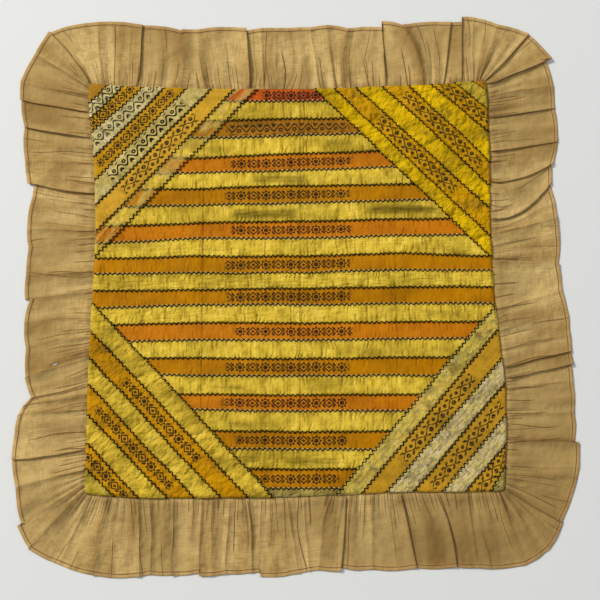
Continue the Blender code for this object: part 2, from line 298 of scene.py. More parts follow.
# Places where a level ribbon sags into a trough that catches no light
Slack = namedtuple("Slack", "x y half_length half_width bow depth")
SLACKS = (
    Slack(-26, 69, 38, 3.8, 0.5, 0.85),
    Slack(112, 72, 42, 3.4, -2.0, 0.9),
    Slack(-12, 105, 32, 3.2, 0.5, 0.65),
    Slack(48, 142, 16, 2.5, 0.0, 0.4),
    Slack(-36, 160, 20, 2.5, 0.0, 0.4),
    Slack(-60, -104, 16, 1.6, 0.0, 0.6),
    Slack(-40, -139, 26, 2.2, 1.0, 0.5),
    Slack(20, -175, 30, 2.8, 1.0, 0.55),
    Slack(-46, -173, 16, 2.4, 0.0, 0.5),
    Slack(150, -32, 22, 2.6, 0.0, 0.45),
)
# Dark stains on the silk of the corners
Stain = namedtuple("Stain", "x y half_length half_width turn depth")
STAINS = (
    Stain(135.0, 151.5, 5.0, 3.0, -45, 0.6),
    Stain(158.0, 174.0, 6.0, 3.0, -45, 0.75),
    Stain(167.0, 164.5, 5.0, 3.0, -45, 0.65),
    Stain(145.5, 84.5, 9.0, 4.0, -45, 0.4),
    Stain(96.0, 130.5, 7.0, 3.5, -45, 0.35),
    Stain(162.0, -82.5, 9.0, 5.5, 45, 0.8),
    Stain(93.0, -157.5, 8.0, 4.0, 45, 0.55),
    Stain(186.0, -108.0, 7.0, 5.0, 45, 0.45),
    Stain(150.0, -140.5, 9.0, 4.0, 45, 0.4),
)
# The ribbons: how thick they are, how much higher those lie that lap over their neighbours, how
# far past a seam those reach and the ones under them, first level and then at the corners, and
# how far inside the outline all of them end
RIBBON_THICK = 0.3
OVER_RISE = RIBBON_THICK + 0.05
LAP_OVER = 0.4
LAP_UNDER = 1.6
CORNER_LAP_OVER = 0.3
CORNER_LAP_UNDER = 1.5
EDGE_IN = 0.3
# How high the front's top is at the seam and inside it, how far in it comes down, how much higher
# the corners' bands lie, and how much quilting the level ribbons show
FRONT_OVER_LIP = 3.4
FRONT_OVER_BACK = 2.7
LIP_COVER = 9.0
CORNER_OVER = 0.75
LEVEL_QUILT = 0.25
# The printing of a corner's band: half its length at most, and how far from its ends it stops
CORNER_PRINT = 54.0
PRINT_FROM_END = 5.0
# The back: how high its top lies and how thick it is, and the lowest that any cloth reaches
BACK_TOP = 0.75
BACK_THICK = 0.6
LOWEST = 0.02
# The grids of points: a step along a ribbon, and rows across it
LEVEL_STEP = 2.3
LEVEL_ROWS = 9
CORNER_STEP = 1.5
CORNER_ROWS = 9
BACK_ROWS = 60
# How far the level rows run on under the corners, more under those whose first band is sheer,
# and how far in their stitching goes
SHEER_CORNERS = ("top_left", "bottom_right")
UNDER_VEIL = 24.0
UNDER_CORNER = 4.0
STITCHED_UNDER_VEIL = 14.0
STITCHED_UNDER_CORNER = 0.5
# The old folds down the whole front: their X, and how deep they are, which also sets how dark their painted
# shade is
FRONT_CREASES = ((9.0, 0.5), (-88.0, 0.45), (104.0, 0.2))

# The broad swells of the front
Swell = namedtuple("Swell", "x y rise half_length half_width turn")
SWELLS = (
    Swell(150, 150, 2.2, 90, 22, -45),
    Swell(110, 120, 1.6, 110, 16, -45),
    Swell(-140, -150, 2.0, 95, 24, -45),
    Swell(-105, -108, 1.4, 110, 16, -45),
    Swell(-140, 140, 0.9, 80, 26, 45),
    Swell(145, -140, 1.2, 90, 26, 45),
    Swell(0, 3, 1.6, 130, 11, 0),
    Swell(-2, 60, 1.0, 22, 120, 0),
    Swell(-98, 20, 1.0, 12, 90, 0),
    Swell(96, -20, 0.8, 14, 80, 0),
)

# The stitches: how far apart the zigzags' bends are, how far they swing and how thick they are,
# and then the hem's straight ones
ZIGZAG_STEP = 2.45
ZIGZAG_REACH = 0.95
THREAD_RADIUS = 0.58
CORNER_REACH = 1.15
LOOP_REACH = 1.3
LOOP_RADIUS = 0.3
THREAD_LIFT = 0.3
STITCH_IN = 0.8
PATH_STEP = 1.5
HEM_STITCH_STEP = 2.7
HEM_STITCH_LONG = 2.2
HEM_STITCH_END = 3.0
HEM_STITCH_RISE = (0.05, 0.32, 0.32, 0.05)
HEM_THREAD_RADIUS = 0.33

# The cottons' colours and the threads'
RUFFLE_PALE = (0.68, 0.48, 0.185)
RUFFLE_DARK = (0.40, 0.262, 0.09)
BACK_PALE = (0.47, 0.34, 0.165)
BACK_DARK = (0.36, 0.25, 0.11)
WEAVE_PITCH = 0.5
# The tint of the painted shade on the ruffle's folds
FOLD_SHADE = (0.74, 0.68, 0.60)
# The colour of the ruffle's painted crease shadows
CREASE_SHADOW_BROWN = (0.14, 0.058, 0.014)
HEM_THREAD = (0.17, 0.07, 0.03)
BLACK_THREAD = (0.003, 0.002, 0.002)
LOOP_THREAD = (0.60, 0.50, 0.25)
HEM_STAIN = (0.50, 0.30, 0.11)
WORN_PALE = (1.2, 1.22, 1.3)
# The ruffle darkens toward the bottom right, between two values of X less Y, in metres
DARKER_FROM = 0.23
DARKER_TO = 0.46

# A small tear in the ruffle, and a large faint darker patch on it
Oval = namedtuple("Oval", "x y half_length half_width turn")
TEAR = Oval(-233.0, -81.0, 3.6, 1.0, 22.0)
RUFFLE_DARK_PATCH = Oval(160.0, -256.0, 72.0, 30.0, 0.0)
DARK_PATCH_DEPTH = 0.75
DARK_PATCH_TINT = (0.66, 0.62, 0.56)

# The thin dark creases of the ruffle, painted shadows in its folds, in metres: how far apart they
# are and how much they wander, how far the shortest and the longest reach, half their width, the
# share of them that shows and how dark their painted shadow is, how softly they end, and whether
# they start from the hem
GatherLines = namedtuple(
    "GatherLines",
    "pitch warp seed reach_seed shortest longest half share dark fade_from fade_to from_hem",
)
GATHER_LINES = (
    GatherLines(0.0052, 2.4, 1.0, 8.0, 0.004, 0.034, 0.0005, 0.75, 0.72, -0.002, 0.005, False),
    GatherLines(0.0150, 1.8, 3.0, 9.0, 0.012, 0.075, 0.0006, 0.6, 0.8, -0.004, 0.01, False),
    GatherLines(0.0190, 1.8, 5.0, 7.0, 0.016, 0.055, 0.0006, 0.4, 0.65, -0.002, 0.012, True),
)

# The random heights that noise is made of
LATTICE = np.random.default_rng(11).uniform(-1.0, 1.0, (256, 256))


def smooth(share):
    share = np.clip(share, 0.0, 1.0)
    return share * share * (3.0 - 2.0 * share)


def noise(x, y, seed=0):
    """Smooth noise from -1 to 1, with one hill or hollow in each unit."""
    x = np.asarray(x, float) + 17.31 * seed
    y = np.asarray(y, float) + 31.73 * seed
    column = np.floor(x).astype(int)
    row = np.floor(y).astype(int)
    across = smooth(x - column)
    up = smooth(y - row)
    size = len(LATTICE)
    corner = [[LATTICE[(column + i) % size, (row + j) % size] for i in (0, 1)] for j in (0, 1)]
    low = corner[0][0] * (1 - across) + corner[0][1] * across
    high = corner[1][0] * (1 - across) + corner[1][1] * across
    return low * (1 - up) + high * up


def unit(vectors):
    return vectors / (np.linalg.norm(vectors, axis=-1, keepdims=True) + 1e-9)


def run_along(line):
    """How far along a line of points each of them is."""
    return np.cumsum(np.r_[0.0, np.linalg.norm(np.diff(line, axis=0), axis=1)])


def points_at(line, places):
    """Points at places along a line of points in space."""
    run = run_along(line)
    return np.stack([np.interp(places, run, line[:, axis]) for axis in range(3)], axis=1)


def side_frame(side):
    """The start of a side, its unit direction clockwise, its unit way out and its length."""
    names = ("top_left", "top_right", "bottom_right", "bottom_left", "top_left")
    index = SIDES.index(side)
    start = np.array(CORNERS[names[index]])
    run = np.array(CORNERS[names[index + 1]]) - start
    length = np.linalg.norm(run)
    along = run / length
    return start, along, np.array((-along[1], along[0])), length


FRAMES = {side: side_frame(side) for side in SIDES}
LENGTHS = [FRAMES[side][3] for side in SIDES]
STARTS = dict(zip(SIDES, np.cumsum([0.0] + LENGTHS[:3])))
PERIMETER = sum(LENGTHS)


def side_point(side, along, out):
    start, direction, outward, _ = FRAMES[side]
    return start + direction * along + outward * out


def seam_on_side(side, along):
    places, bows = zip(*SEAM_BOW[side])
    return side_point(side, along, np.interp(along, places, bows))


def seam_point(run):
    """A point of the panels' outline, at a run from the top left corner clockwise."""
    run %= PERIMETER
    side = max((s for s in SIDES if STARTS[s] <= run), key=STARTS.get)
    index = SIDES.index(side)
    along = run - STARTS[side]
    to_end = LENGTHS[index] - along
    if min(along, to_end) >= CORNER_ROUND:
        return seam_on_side(side, along)
    before = SIDES[index - 1] if along < to_end else side
    after = side if along < to_end else SIDES[(index + 1) % 4]
    corner = side_point(after, 0.0, 0.0)
    share = 0.5 + 0.5 * (along if along < to_end else -to_end) / CORNER_ROUND
    first = seam_on_side(before, LENGTHS[SIDES.index(before)] - CORNER_ROUND)
    last = seam_on_side(after, CORNER_ROUND)
    return (1 - share) ** 2 * first + 2 * share * (1 - share) * corner + share**2 * last


OUTLINE = np.array([seam_point(run) for run in np.arange(0.0, PERIMETER, 2.0)])
BACK_BOX = np.array(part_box("back_panel"))[:, :2] / MM
SHIFT = BACK_BOX.mean(axis=0) - (OUTLINE.max(axis=0) + OUTLINE.min(axis=0)) / 2


def put_in_frame(points):
    """Points of the cover in millimetres, as points of the frame in metres."""
    placed = np.array(points, float)
    placed[..., :2] += SHIFT
    return placed * MM


def new_mesh(name, points, faces, materials, face_slots=None, face_uv=None):
    """An object from points in the cover's millimetres, shaded smooth."""
    mesh = bpy.data.meshes.new(name)
    mesh.vertices.add(len(points))
    mesh.vertices.foreach_set("co", put_in_frame(points).ravel())
    faces = np.asarray(faces)
    mesh.loops.add(faces.size)
    mesh.loops.foreach_set("vertex_index", faces.ravel())
    mesh.polygons.add(len(faces))
    mesh.polygons.foreach_set("loop_start", np.arange(len(faces)) * faces.shape[1])
    if face_slots is not None:
        mesh.polygons.foreach_set("material_index", np.asarray(face_slots, dtype=np.int32))
    if face_uv is not None:
        layer = mesh.uv_layers.new(name="cloth")
        layer.data.foreach_set("uv", np.asarray(face_uv, float).reshape(-1))
    mesh.update(calc_edges=True)
    mesh.validate()
    mesh.shade_smooth()
    obj = bpy.data.objects.new(name, mesh)
    bpy.context.scene.collection.objects.link(obj)
    for material in materials:
        mesh.materials.append(material)
    return obj


def mark_points(obj, name, sheets):
    """Gives each point its value by name, the same on a sheet's top and underside."""
    attribute = obj.data.attributes.new(name, "FLOAT", "POINT")
    values = np.concatenate([np.tile(values.reshape(-1), 2) for values in sheets])
    attribute.data.foreach_set("value", values.astype(np.float32))


def surface_normals(top, ring):
    """Unit normals of a grid of points, as rows by columns by 3."""
    if ring:
        along = np.roll(top, -1, axis=1) - np.roll(top, 1, axis=1)
    else:
        along = np.gradient(top, axis=1)
    out = np.gradient(top, axis=0)
    normal = unit(np.cross(along, out))
    return np.where(normal[..., 2:] < 0, -normal, normal)


def cloth_shell(top, thick, ring=False, floor=None):
    """The closed sheet under a grid of top points: (points, quads)."""
    rows, columns = top.shape[:2]
    under = top - surface_normals(top, ring) * thick
    if floor is not None:
        under[..., 2] = np.maximum(under[..., 2], floor)
    number = np.arange(rows * columns).reshape(rows, columns)
    if ring:
        number = np.concatenate((number, number[:, :1]), axis=1)
    a, b, c, d = number[:-1, :-1], number[1:, :-1], number[1:, 1:], number[:-1, 1:]
    upper = np.stack((a, b, c, d), axis=-1).reshape(-1, 4)
    first = top[0, 0], top[1, 0], top[0, 1]
    if np.cross(first[1] - first[0], first[2] - first[0])[2] < 0:
        upper = upper[:, ::-1]
    lower = upper[:, ::-1] + rows * columns
    edges = [number[0], number[-1][::-1]]
    if not ring:
        edges += [number[:, 0][::-1], number[:, -1]]
    rims = [
        np.stack((e[:-1], e[1:], e[1:] + rows * columns, e[:-1] + rows * columns), axis=-1)
        for e in edges
    ]
    rim = np.concatenate(rims)
    first_face = list(upper[0])
    if first_face[(first_face.index(rim[0][0]) + 1) % 4] == rim[0][1]:
        rim = rim[:, ::-1]
    faces = np.concatenate((upper, lower, rim))
    points = np.concatenate((top.reshape(-1, 3), under.reshape(-1, 3)))
    return points, faces


def finish_piece(piece, replaced=None):
    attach(piece, "root")
    if replaced:
        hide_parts(replaced)
    return piece


class Signal:
    """What one node gives out, so that sums of nodes are written as sums."""

    def __init__(self, look, socket):
        self.look = look
        self.socket = socket

    def math(self, operation, other=0.0):
        return self.look.node("ShaderNodeMath", enumerate((self, other)), operation=operation)

    def __add__(self, other):
        return self.math("ADD", other)

    def __sub__(self, other):
        return self.math("SUBTRACT", other)

    def __rsub__(self, other):
        return self * -1.0 + other

    def __mul__(self, other):
        return self.math("MULTIPLY", other)

    def __abs__(self):
        return self.math("ABSOLUTE")

    def most(self, *others):
        """The largest of this one and the others at each place."""
        largest = self
        for other in others:
            largest = largest.math("MAXIMUM", other)
        return largest

    def ramp(self, low, high, to_low=0.0, to_high=1.0):
        """A smooth step from to_low to to_high, as this one goes from low to high."""
        names = ("Value", "From Min", "From Max", "To Min", "To Max")
        feeds = zip(names, (self, low, high, to_low, to_high))
        return self.look.node("ShaderNodeMapRange", feeds, interpolation_type="SMOOTHSTEP")

    def under(self, limit, soft=0.25):
        """1 where this one is under limit, 0 over it, with a soft edge."""
        return self.ramp(limit - soft, limit + soft, 1.0, 0.0)


class Look:
    """A node material, made by calls that each return the signal they make."""

    def __init__(self, name, roughness, specular=0.3):
        self.material = bpy.data.materials.new(name)
        self.material.use_nodes = True
        self.nodes = self.material.node_tree.nodes
        self.links = self.material.node_tree.links
        self.surface = self.nodes["Principled BSDF"].inputs
        self.surface["Roughness"].default_value = roughness
        self.surface["Specular IOR Level"].default_value = specular

    def feed(self, socket, value):
        if isinstance(value, Signal):
            self.links.new(value.socket, socket)
        elif isinstance(value, tuple):
            socket.default_value = (*value, 1.0)
        else:
            socket.default_value = value

    def node(self, kind, feeds=(), output=0, **settings):
        """The signal of a new node, with what is fed into its sockets and its settings."""
        made = self.nodes.new(kind)
        for name, value in settings.items():
            setattr(made, name, value)
        for socket, value in feeds:
            self.feed(made.inputs[socket], value)
        return Signal(self, made.outputs[output])

    def value(self, attribute):
        return self.node("ShaderNodeAttribute", output="Fac", attribute_name=attribute)

    def first_two(self, vector):
        made = self.nodes.new("ShaderNodeSeparateXYZ")
        self.feed(made.inputs[0], vector)
        return Signal(self, made.outputs[0]), Signal(self, made.outputs[1])

    def uv(self):
        return self.first_two(self.node("ShaderNodeUVMap", uv_map="cloth"))

    def place(self):
        return self.first_two(self.node("ShaderNodeTexCoord", output="Object"))

    def noise(self, x, y, z=0.0, detail=2.0, roughness=0.5):
        place = self.node("ShaderNodeCombineXYZ", enumerate((x, y, z)))
        feeds = (("Vector", place), ("Scale", 1.0), ("Detail", detail), ("Roughness", roughness))
        return self.node("ShaderNodeTexNoise", feeds)

    def mix(self, share, first, second, blend="MIX"):
        feeds = ((0, share), (6, first), (7, second))
        return self.node("ShaderNodeMix", feeds, 2, data_type="RGBA", blend_type=blend)

    def tint(self, share, colour, tint):
        """The colour, multiplied by a tint as far as share says."""
        return self.mix(share, colour, self.mix(1.0, colour, tint, "MULTIPLY"))

    def colour(self, value):
        self.feed(self.surface["Base Color"], value)

    def bump(self, height, strength):
        """Small relief, with its height in millimetres."""
        feeds = (("Strength", strength), ("Distance", MM), ("Height", height))
        self.feed(self.surface["Normal"], self.node("ShaderNodeBump", feeds))


def grain(x, y, across, along, z=0.0, detail=2.0, roughness=0.5):
    """Noise with a number of grains to the metre each way."""
    return x.look.noise(x * across, y * along, z, detail, roughness)


def on_cover(x, y):
    """A place of the frame in metres, as one of the cover in millimetres."""
    return x * (1 / MM) - SHIFT[0], y * (1 / MM) - SHIFT[1]


def hypot(x, y):
    return (x * x + y * y).math("SQRT")


def from_middle(x, y, at_x, at_y, half_length, half_width, turn):
    """How far a place is from the middle of an oval that is turned by degrees, 1 at its edge."""
    c, s = np.cos(np.radians(turn)), np.sin(np.radians(turn))
    dx, dy = x - at_x, y - at_y
    return hypot((dx * c + dy * s) * (1 / half_length), (dy * c - dx * s) * (1 / half_width))


def leaf(x, y, *oval):
    """A leaf shape at a place, turned by degrees."""
    return from_middle(x, y, *oval).under(1.0, 0.2)


def weave(u, v, pitch):
    """Over and under threads of a plain weave, from 0 to 1, with u and v in metres."""
    turn = 2 * np.pi / (pitch * MM)
    return (u * turn).math("SINE") * (v * turn).math("SINE") * 0.5 + 0.5


def cotton(name, pale, dark, gathered=False):
    """Aged plain cotton: cloudy stains and faint threads both ways, and gathers with their painted shade if
    it has them.
    """
    look = Look(name, roughness=0.95, specular=0.08)
    u, v = look.uv()
    x, y = look.place()
    cloud = grain(x, y, 9.0, 9.0, detail=4.0, roughness=0.6)
    blotch = grain(x, y, 60.0, 60.0, detail=4.0, roughness=0.6)
    slub = grain(u, v, 700.0, 80.0)
    pick = grain(u, v, 80.0, 700.0)
    colour = look.mix(cloud.ramp(0.3, 0.7), pale, dark)
    colour = look.mix(blotch.ramp(0.46, 0.68, 0.0, 0.7), colour, dark)
    for threads in (slub, pick):
        colour = look.mix(threads.ramp(0.5, 0.66, 0.0, 0.5), colour, dark)
    worn = slub * 0.5 + pick * 0.5
    colour = look.tint(worn.ramp(0.34, 0.44, 0.4, 0.0), colour, WORN_PALE)
    rumple = grain(x, y, 90.0, 90.0, detail=3.0)
    dents = grain(x, y, 38.0, 38.0, 6.0)
    height = weave(u, v, WEAVE_PITCH) * 0.06 + slub * 0.12 + (rumple * 2.6 + dents * 4.6)
    if gathered:
        # Darker toward the bottom right
        colour = look.mix((x - y).ramp(DARKER_FROM, DARKER_TO), colour, dark)
        place = on_cover(x, y)
        # A large faint darker patch on the ruffle
        stained = from_middle(*place, *RUFFLE_DARK_PATCH).ramp(0.3, 1.2, DARK_PATCH_DEPTH, 0.0)
        colour = look.tint(stained, colour, DARK_PATCH_TINT)
        colour, height = gathers(u, v, colour, height)
        look.feed(look.surface["Alpha"], 1.0 - leaf(*place, *TEAR))
    look.colour(colour)
    look.bump(height, 0.75)
    return look.material


def creases(u, v, pitch, warp, seed):
    """Lines that run out along v, a pitch apart and wandering: (how far from one, its number)."""
    sway = grain(u, v, 0.3 / pitch, 9.0, seed, detail=1.0)
    phase = u * (1.0 / pitch) + sway * warp
    return abs(phase.math("FRACT") - 0.5) * pitch, phase.math("FLOOR")


def lot(number, step, seed):
    """A number between 0 and 1 for each crease, by its own number."""
    return number.look.noise(number * step, seed, detail=0.0)


def crease_lines(away, number, seed, half, share, dark):
    """The lines among the creases that show, each half a width to either side of its middle."""
    chosen = lot(number, 7.31, seed).ramp(0.62 - 0.24 * share, 0.66 - 0.24 * share)
    return away.ramp(half * 0.4, half, dark, 0.0) * chosen


def gather_lines(u, v):
    """Thin dark crease lines of painted shadow: many short ones from the seam, some long ones, a few from
    the hem.
    """
    drawn = []
    for kind in GATHER_LINES:
        away, number = creases(u, v, kind.pitch, kind.warp, kind.seed)
        reach = lot(number, 3.7, kind.reach_seed).ramp(0.3, 0.72, kind.shortest, kind.longest)
        left = v - reach if kind.from_hem else reach - v
        lines = crease_lines(away, number, kind.seed + 1.0, kind.half, kind.share, kind.dark)
        drawn.append(lines * left.ramp(kind.fade_from, kind.fade_to))
    return drawn[0].most(*drawn[1:])


def gathers(u, v, colour, height):
    """The folds that run out from a seam, close together beside it and few at the hem, in painted shade with
    painted shadows along their creases.
    """
    look = u.look
    near = v.ramp(0.004, 0.034, 1.0, 0.0)
    inner = v.ramp(0.0, 0.06, 1.0, 0.3)
    lines = gather_lines(u, v)
    fine = grain(u, v, 170.0, 9.0, detail=1.0)
    wide = grain(u, v, 62.0, 6.0, 2.0, detail=1.0)
    broad = grain(u, v, 26.0, 8.0, 5.0)
    both = wide * 0.5 + broad * 0.5
    # Painted shade of the folds' relief, in broad soft bands and in fine gathers beside the seam
    shaded = look.mix(1.0, colour, FOLD_SHADE, "MULTIPLY")
    colour = look.mix(both.ramp(0.42, 0.62, 0.0, 0.95), colour, shaded)
    colour = look.mix(fine.ramp(0.45, 0.7, 0.0, 0.6) * near, colour, shaded)
    away = look.value("fold")
    strong = look.value("strong")
    # Painted shade beside each fold, then painted shadows along the folds and the gather lines
    colour = look.mix(away.ramp(0.6, 3.2, 0.35, 0.0) * strong, colour, CREASE_SHADOW_BROWN)
    fold = away.ramp(0.35, 0.85, 1.0, 0.0) * strong
    colour = look.mix(lines.most(fold), colour, CREASE_SHADOW_BROWN)
    stain = grain(u, v, 60.0, 300.0, 8.0).ramp(0.35, 0.65, 0.2, 0.55)
    colour = look.mix(look.value("hem") * stain, colour, HEM_STAIN)
    swells = wide * inner * 10.0 + broad * 13.0
    return colour, fine * (near * 2.6) + swells + (height + lines * -0.4)


def stage_floor():
    mesh = bpy.data.meshes.new("floor")
    half = FLOOR_HALF
    corners = [(-half, -half, 0), (half, -half, 0), (half, half, 0), (-half, half, 0)]
    mesh.from_pydata(corners, [], [(0, 1, 2, 3)])
    floor = bpy.data.objects.new("floor", mesh)
    bpy.context.scene.collection.objects.link(floor)
    look = Look("pale_floor", roughness=0.9, specular=0.2)
    look.colour(FLOOR_COLOUR)
    mesh.materials.append(look.material)


def set_camera():
    tilt = np.radians(CAMERA_TILT)
    data = bpy.data.cameras.new("camera")
    data.sensor_width = SENSOR
    data.lens = SENSOR * CAMERA_FOCAL
    camera = bpy.data.objects.new("camera", data)
    look = put_in_frame((*CAMERA_LOOK, 2.5))
    away = CAMERA_AWAY * MM
    camera.location = look + away * np.array((0.0, -np.sin(tilt), np.cos(tilt)))
    camera.rotation_euler = (tilt, 0.0, 0.0)
    bpy.context.scene.collection.objects.link(camera)
    bpy.context.scene.camera = camera


def add_window():
    """The one lamp, turned to the middle of the cover."""
    data = bpy.data.lights.new("window", "AREA")
    data.size = WINDOW_SIZE
    data.energy = WINDOW_POWER
    data.color = WINDOW_COLOUR
    lamp = bpy.data.objects.new("window", data)
    lamp.location = WINDOW_AT
    toward = -np.array(WINDOW_AT) / np.linalg.norm(WINDOW_AT)
    lamp.rotation_euler = (
        float(np.arccos(-toward[2])),
        0.0,
        float(np.arctan2(toward[0], -toward[1])) + np.pi,
    )
    bpy.context.scene.collection.objects.link(lamp)


def set_lights():
    scene = bpy.context.scene
    scene.view_settings.view_transform = "Standard"
    world = bpy.data.worlds.new("room")
    world.use_nodes = True
    sky = world.node_tree.nodes["Background"]
    sky.inputs[0].default_value = SKY_COLOUR
    sky.inputs[1].default_value = SKY_STRENGTH
    scene.world = world
    add_window()


def ruffle_columns():
    """The ruffle's cross sections, clockwise, as arrays with one entry for each."""
    bends = {(bend.side, bend.number): bend.sideways for bend in BENDS}
    folds = []
    for side in SIDES:
        for number, fold in enumerate(FOLDS[side]):
            hem = side_point(side, fold.hem, fold.reach + HEM_OUT)
            bend = bends.get((side, number), 1.3 * float(noise(number * 2.3, STARTS[side] / 50.0, 13)))
            folds.append((STARTS[side] + fold.seam, hem, FRAMES[side][2], fold, bend))
    columns = []
    for index, (run, hem, outward, fold, bend) in enumerate(folds):
        next_index = (index + 1) % len(folds)
        next_run, next_hem, _, following, next_bend = folds[next_index]
        if next_run < run:
            next_run += PERIMETER
        hem_from = hem + outward * fold.step
        chord = next_hem - hem_from
        length = np.linalg.norm(chord)
        bow = np.array((-chord[1], chord[0])) * HEM_BOW
        steps = max(8, int(round(length / 1.9)))
        even = np.arange(steps) / steps
        shares = even - 0.72 * np.sin(2 * np.pi * even) / (2 * np.pi)
        start, end = seam_point(run), seam_point(next_run)
        for share in shares:
            rounded = hem_from + chord * share + bow * 4 * share * (1 - share)
            columns.append((
                seam_point(run + (next_run - run) * share),
                rounded if share else hem,
                share, start, end, hem_from, next_hem,
                (run + (next_run - run) * share, index, next_index),
                (fold.lift, fold.width, fold.lean, bend),
                (following.lift, following.width, following.lean, next_bend),
            ))
    return [np.array(part, float) for part in zip(*columns)]


def pleats_across(f, share, span, place, this, following):
    """What the folds do along one row, a share f of the way out to the hem.

    Gives each point's rise, its shift sideways, its distance to the nearest fold and how
    strongly that fold is drawn.
    """
    narrow = 0.45 + 0.55 * f
    total = np.zeros(len(f))
    lean_shift = np.zeros(len(f))
    to_fold = np.full(len(f), FAR_FROM_FOLD)
    strength = np.zeros(len(f))
    envelope = np.interp(f, (0.0, 0.12, 0.35, 0.7, 1.0), (0.35, 0.8, 1.0, 0.95, 0.75))
    ends = ((this, share * span, False), (following, (1 - share) * span, True))
    for side_fold, distance, before in ends:
        lift, width, lean, _ = side_fold.T
        index = place[:, 2] if before else place[:, 1]
        steep = (lean < 0) if before else (lean > 0)
        slope = np.where(steep, PLEAT_STEEP, width * narrow)
        slope = np.minimum(slope, 0.47 * span + 0.2)
        rise = np.clip(1.0 - distance / slope, 0.0, 1.0) ** np.where(steep, 1.0, 1.7)
        life = 1.0 + 0.35 * noise(index * 3.7, f * 2.2, 3)
        pressed = PRESSED * lift * envelope * life
        lean_shift += lean * rise**1.3 * 0.62 * pressed
        total = np.maximum(total, pressed * rise)
        foot = PLEAT_STEEP * np.where(steep, 1.0, 0.0)
        leaning = np.where(steep, np.abs(distance - foot), distance + PLEAT_STEEP)
        away = np.where(lean == 0, distance, leaning)
        reach = 0.75 + 0.5 * noise(index * 5.3, 0.5, 14)
        drawn = np.where(lean == 0, 0.5 * smooth((reach - f) / 0.2), 0.85)
        drawn = drawn * (0.75 + 0.35 * noise(index * 2.9, f * 5.0, 15))
        closer = away < to_fold
        to_fold = np.where(closer, away, to_fold)
        strength = np.where(closer, drawn, strength)
    return total, lean_shift, to_fold, strength


def ruffle_grid():
    """The top of the ruffle as rows of points from its lip to its hem, and its creases."""
    seam, hem, share, start, end, hem_from, next_hem, place, this, following = ruffle_columns()
    run = place[:, 0]
    seam = seam * (1 + SEAM_OUT / HALF_FRONT)
    whole = np.linalg.norm(hem - seam, axis=1)
    outs = [body * (whole - HEM_BAND) for body in np.linspace(0.0, 1.0, BODY_ROWS) ** 1.25]
    outs += [whole - from_hem for from_hem in HEM_ROWS]
    hem_seed = run_along(hem)
    bend = this[:, 3] * (1 - share) + following[:, 3] * share
    tops, folds, strengths, hems = [], [], [], []
    for out in outs:
        f = np.clip(out / whole, 0.0, 1.0)
        flat = seam + (hem - seam) * f[:, None]
        stretch = (end - start) * (1 - f[:, None]) + (next_hem - hem_from) * f[:, None]
        span = np.linalg.norm(stretch, axis=1)
        way = stretch / (span[:, None] + 1e-9)
        folded = pleats_across(f, share, span, place, this, following)
        total, lean_shift, to_fold, strength = folded
        gather_near = np.exp(-out / 15.0)
        gather_far = np.exp(-out / 34.0)
        fine = np.abs(noise(run / 4.2 + 0.6 * noise(run / 9, out / 14, 8), out / 26.0, 1))
        wide = np.abs(noise(run / 7.4 + 0.5 * noise(run / 14, out / 20, 9), out / 40.0, 2))
        flutter = noise(hem_seed / 26.0, f * 1.6, 4) * 0.8 + noise(hem_seed / 12.0, f * 2.4, 5) * 0.5
        crumple = noise(hem_seed / 7.0, out / 7.0, 7)
        seam_fade = smooth(out / 4.0)
        total += seam_fade * (0.8 * gather_near * fine + 1.2 * gather_far * wide)
        total += smooth(out / 14.0) * np.maximum(flutter, -0.1)
        total += seam_fade * (0.16 * crumple + 0.2)
        base = LIP_HEIGHT * (1 - smooth(out / LIP_RUN))
        from_hem = whole - out
        hemmed = 0.35 * smooth((HEM_DEEP + 0.4 - from_hem) / 0.8)
        stitched = -0.18 * np.exp(-(((from_hem - HEM_STITCH) / 0.6) ** 2))
        edge = -0.25 * smooth(1 - from_hem / 0.8)
        wander = 0.8 * noise(hem_seed / 24.0, f * 2.6, 12) * np.sin(np.pi * f) ** 0.7
        shift = way * (lean_shift + wander + bend * 4 * f * (1 - f))[:, None]
        top = np.empty((len(f), 3))
        top[:, :2] = flat + shift
        top[:, 2] = RUFFLE_THICK + 0.05 + np.maximum(base + total, 0.0) + hemmed + stitched + edge
        tops.append(top)
        folds.append(to_fold)
        strengths.append(strength * smooth(out / 3.0))
        hems.append(smooth((HEM_DEEP + 0.3 - from_hem) / 0.6))
    lip_inner = tops[0].copy()
    lip_inner[:, :2] -= lip_inner[:, :2] * (LIP_IN / HALF_FRONT)
    lip_inner[:, 2], tops[0][:, 2] = LIP_TOPS
    top = np.array([lip_inner] + tops)
    out_rows = np.array([np.full(len(seam), -LIP_IN)] + outs)
    u = np.broadcast_to(hem_seed, out_rows.shape)
    none = np.zeros(len(seam))
    values = {
        "fold": np.array([none + FAR_FROM_FOLD] + folds),
        "strong": np.array([none] + strengths),
        "hem": np.array([none] + hems),
    }
    return top, out_rows, u, values, whole


def tube(path, radius, sides=4):
    """Points and quads of a thread along a path of points, with its ends left open."""
    path = np.asarray(path, float)
    way = unit(np.gradient(path, axis=0))
    side = unit(np.cross(way, (0.0, 0.0, 1.0)))
    up = np.cross(side, way)
    turns = np.arange(sides) * 2 * np.pi / sides + np.pi / sides
    rings = (
        path[:, None]
        + radius * np.cos(turns)[None, :, None] * side[:, None]
        + radius * np.sin(turns)[None, :, None] * up[:, None]
    )
    count = len(path)
    number = np.arange(count * sides).reshape(count, sides)
    following = np.roll(number, -1, axis=1)
    quads = np.stack((number[:-1], following[:-1], following[1:], number[1:]), axis=-1)
    return rings.reshape(-1, 3), quads.reshape(-1, 4)


def join(parts):
    """Points and faces of several (points, faces) as one."""
    points, faces, count = [], [], 0
    for some_points, some_faces in parts:
        points.append(some_points)
        faces.append(some_faces + count)
        count += len(some_points)
    return np.concatenate(points), np.concatenate(faces)


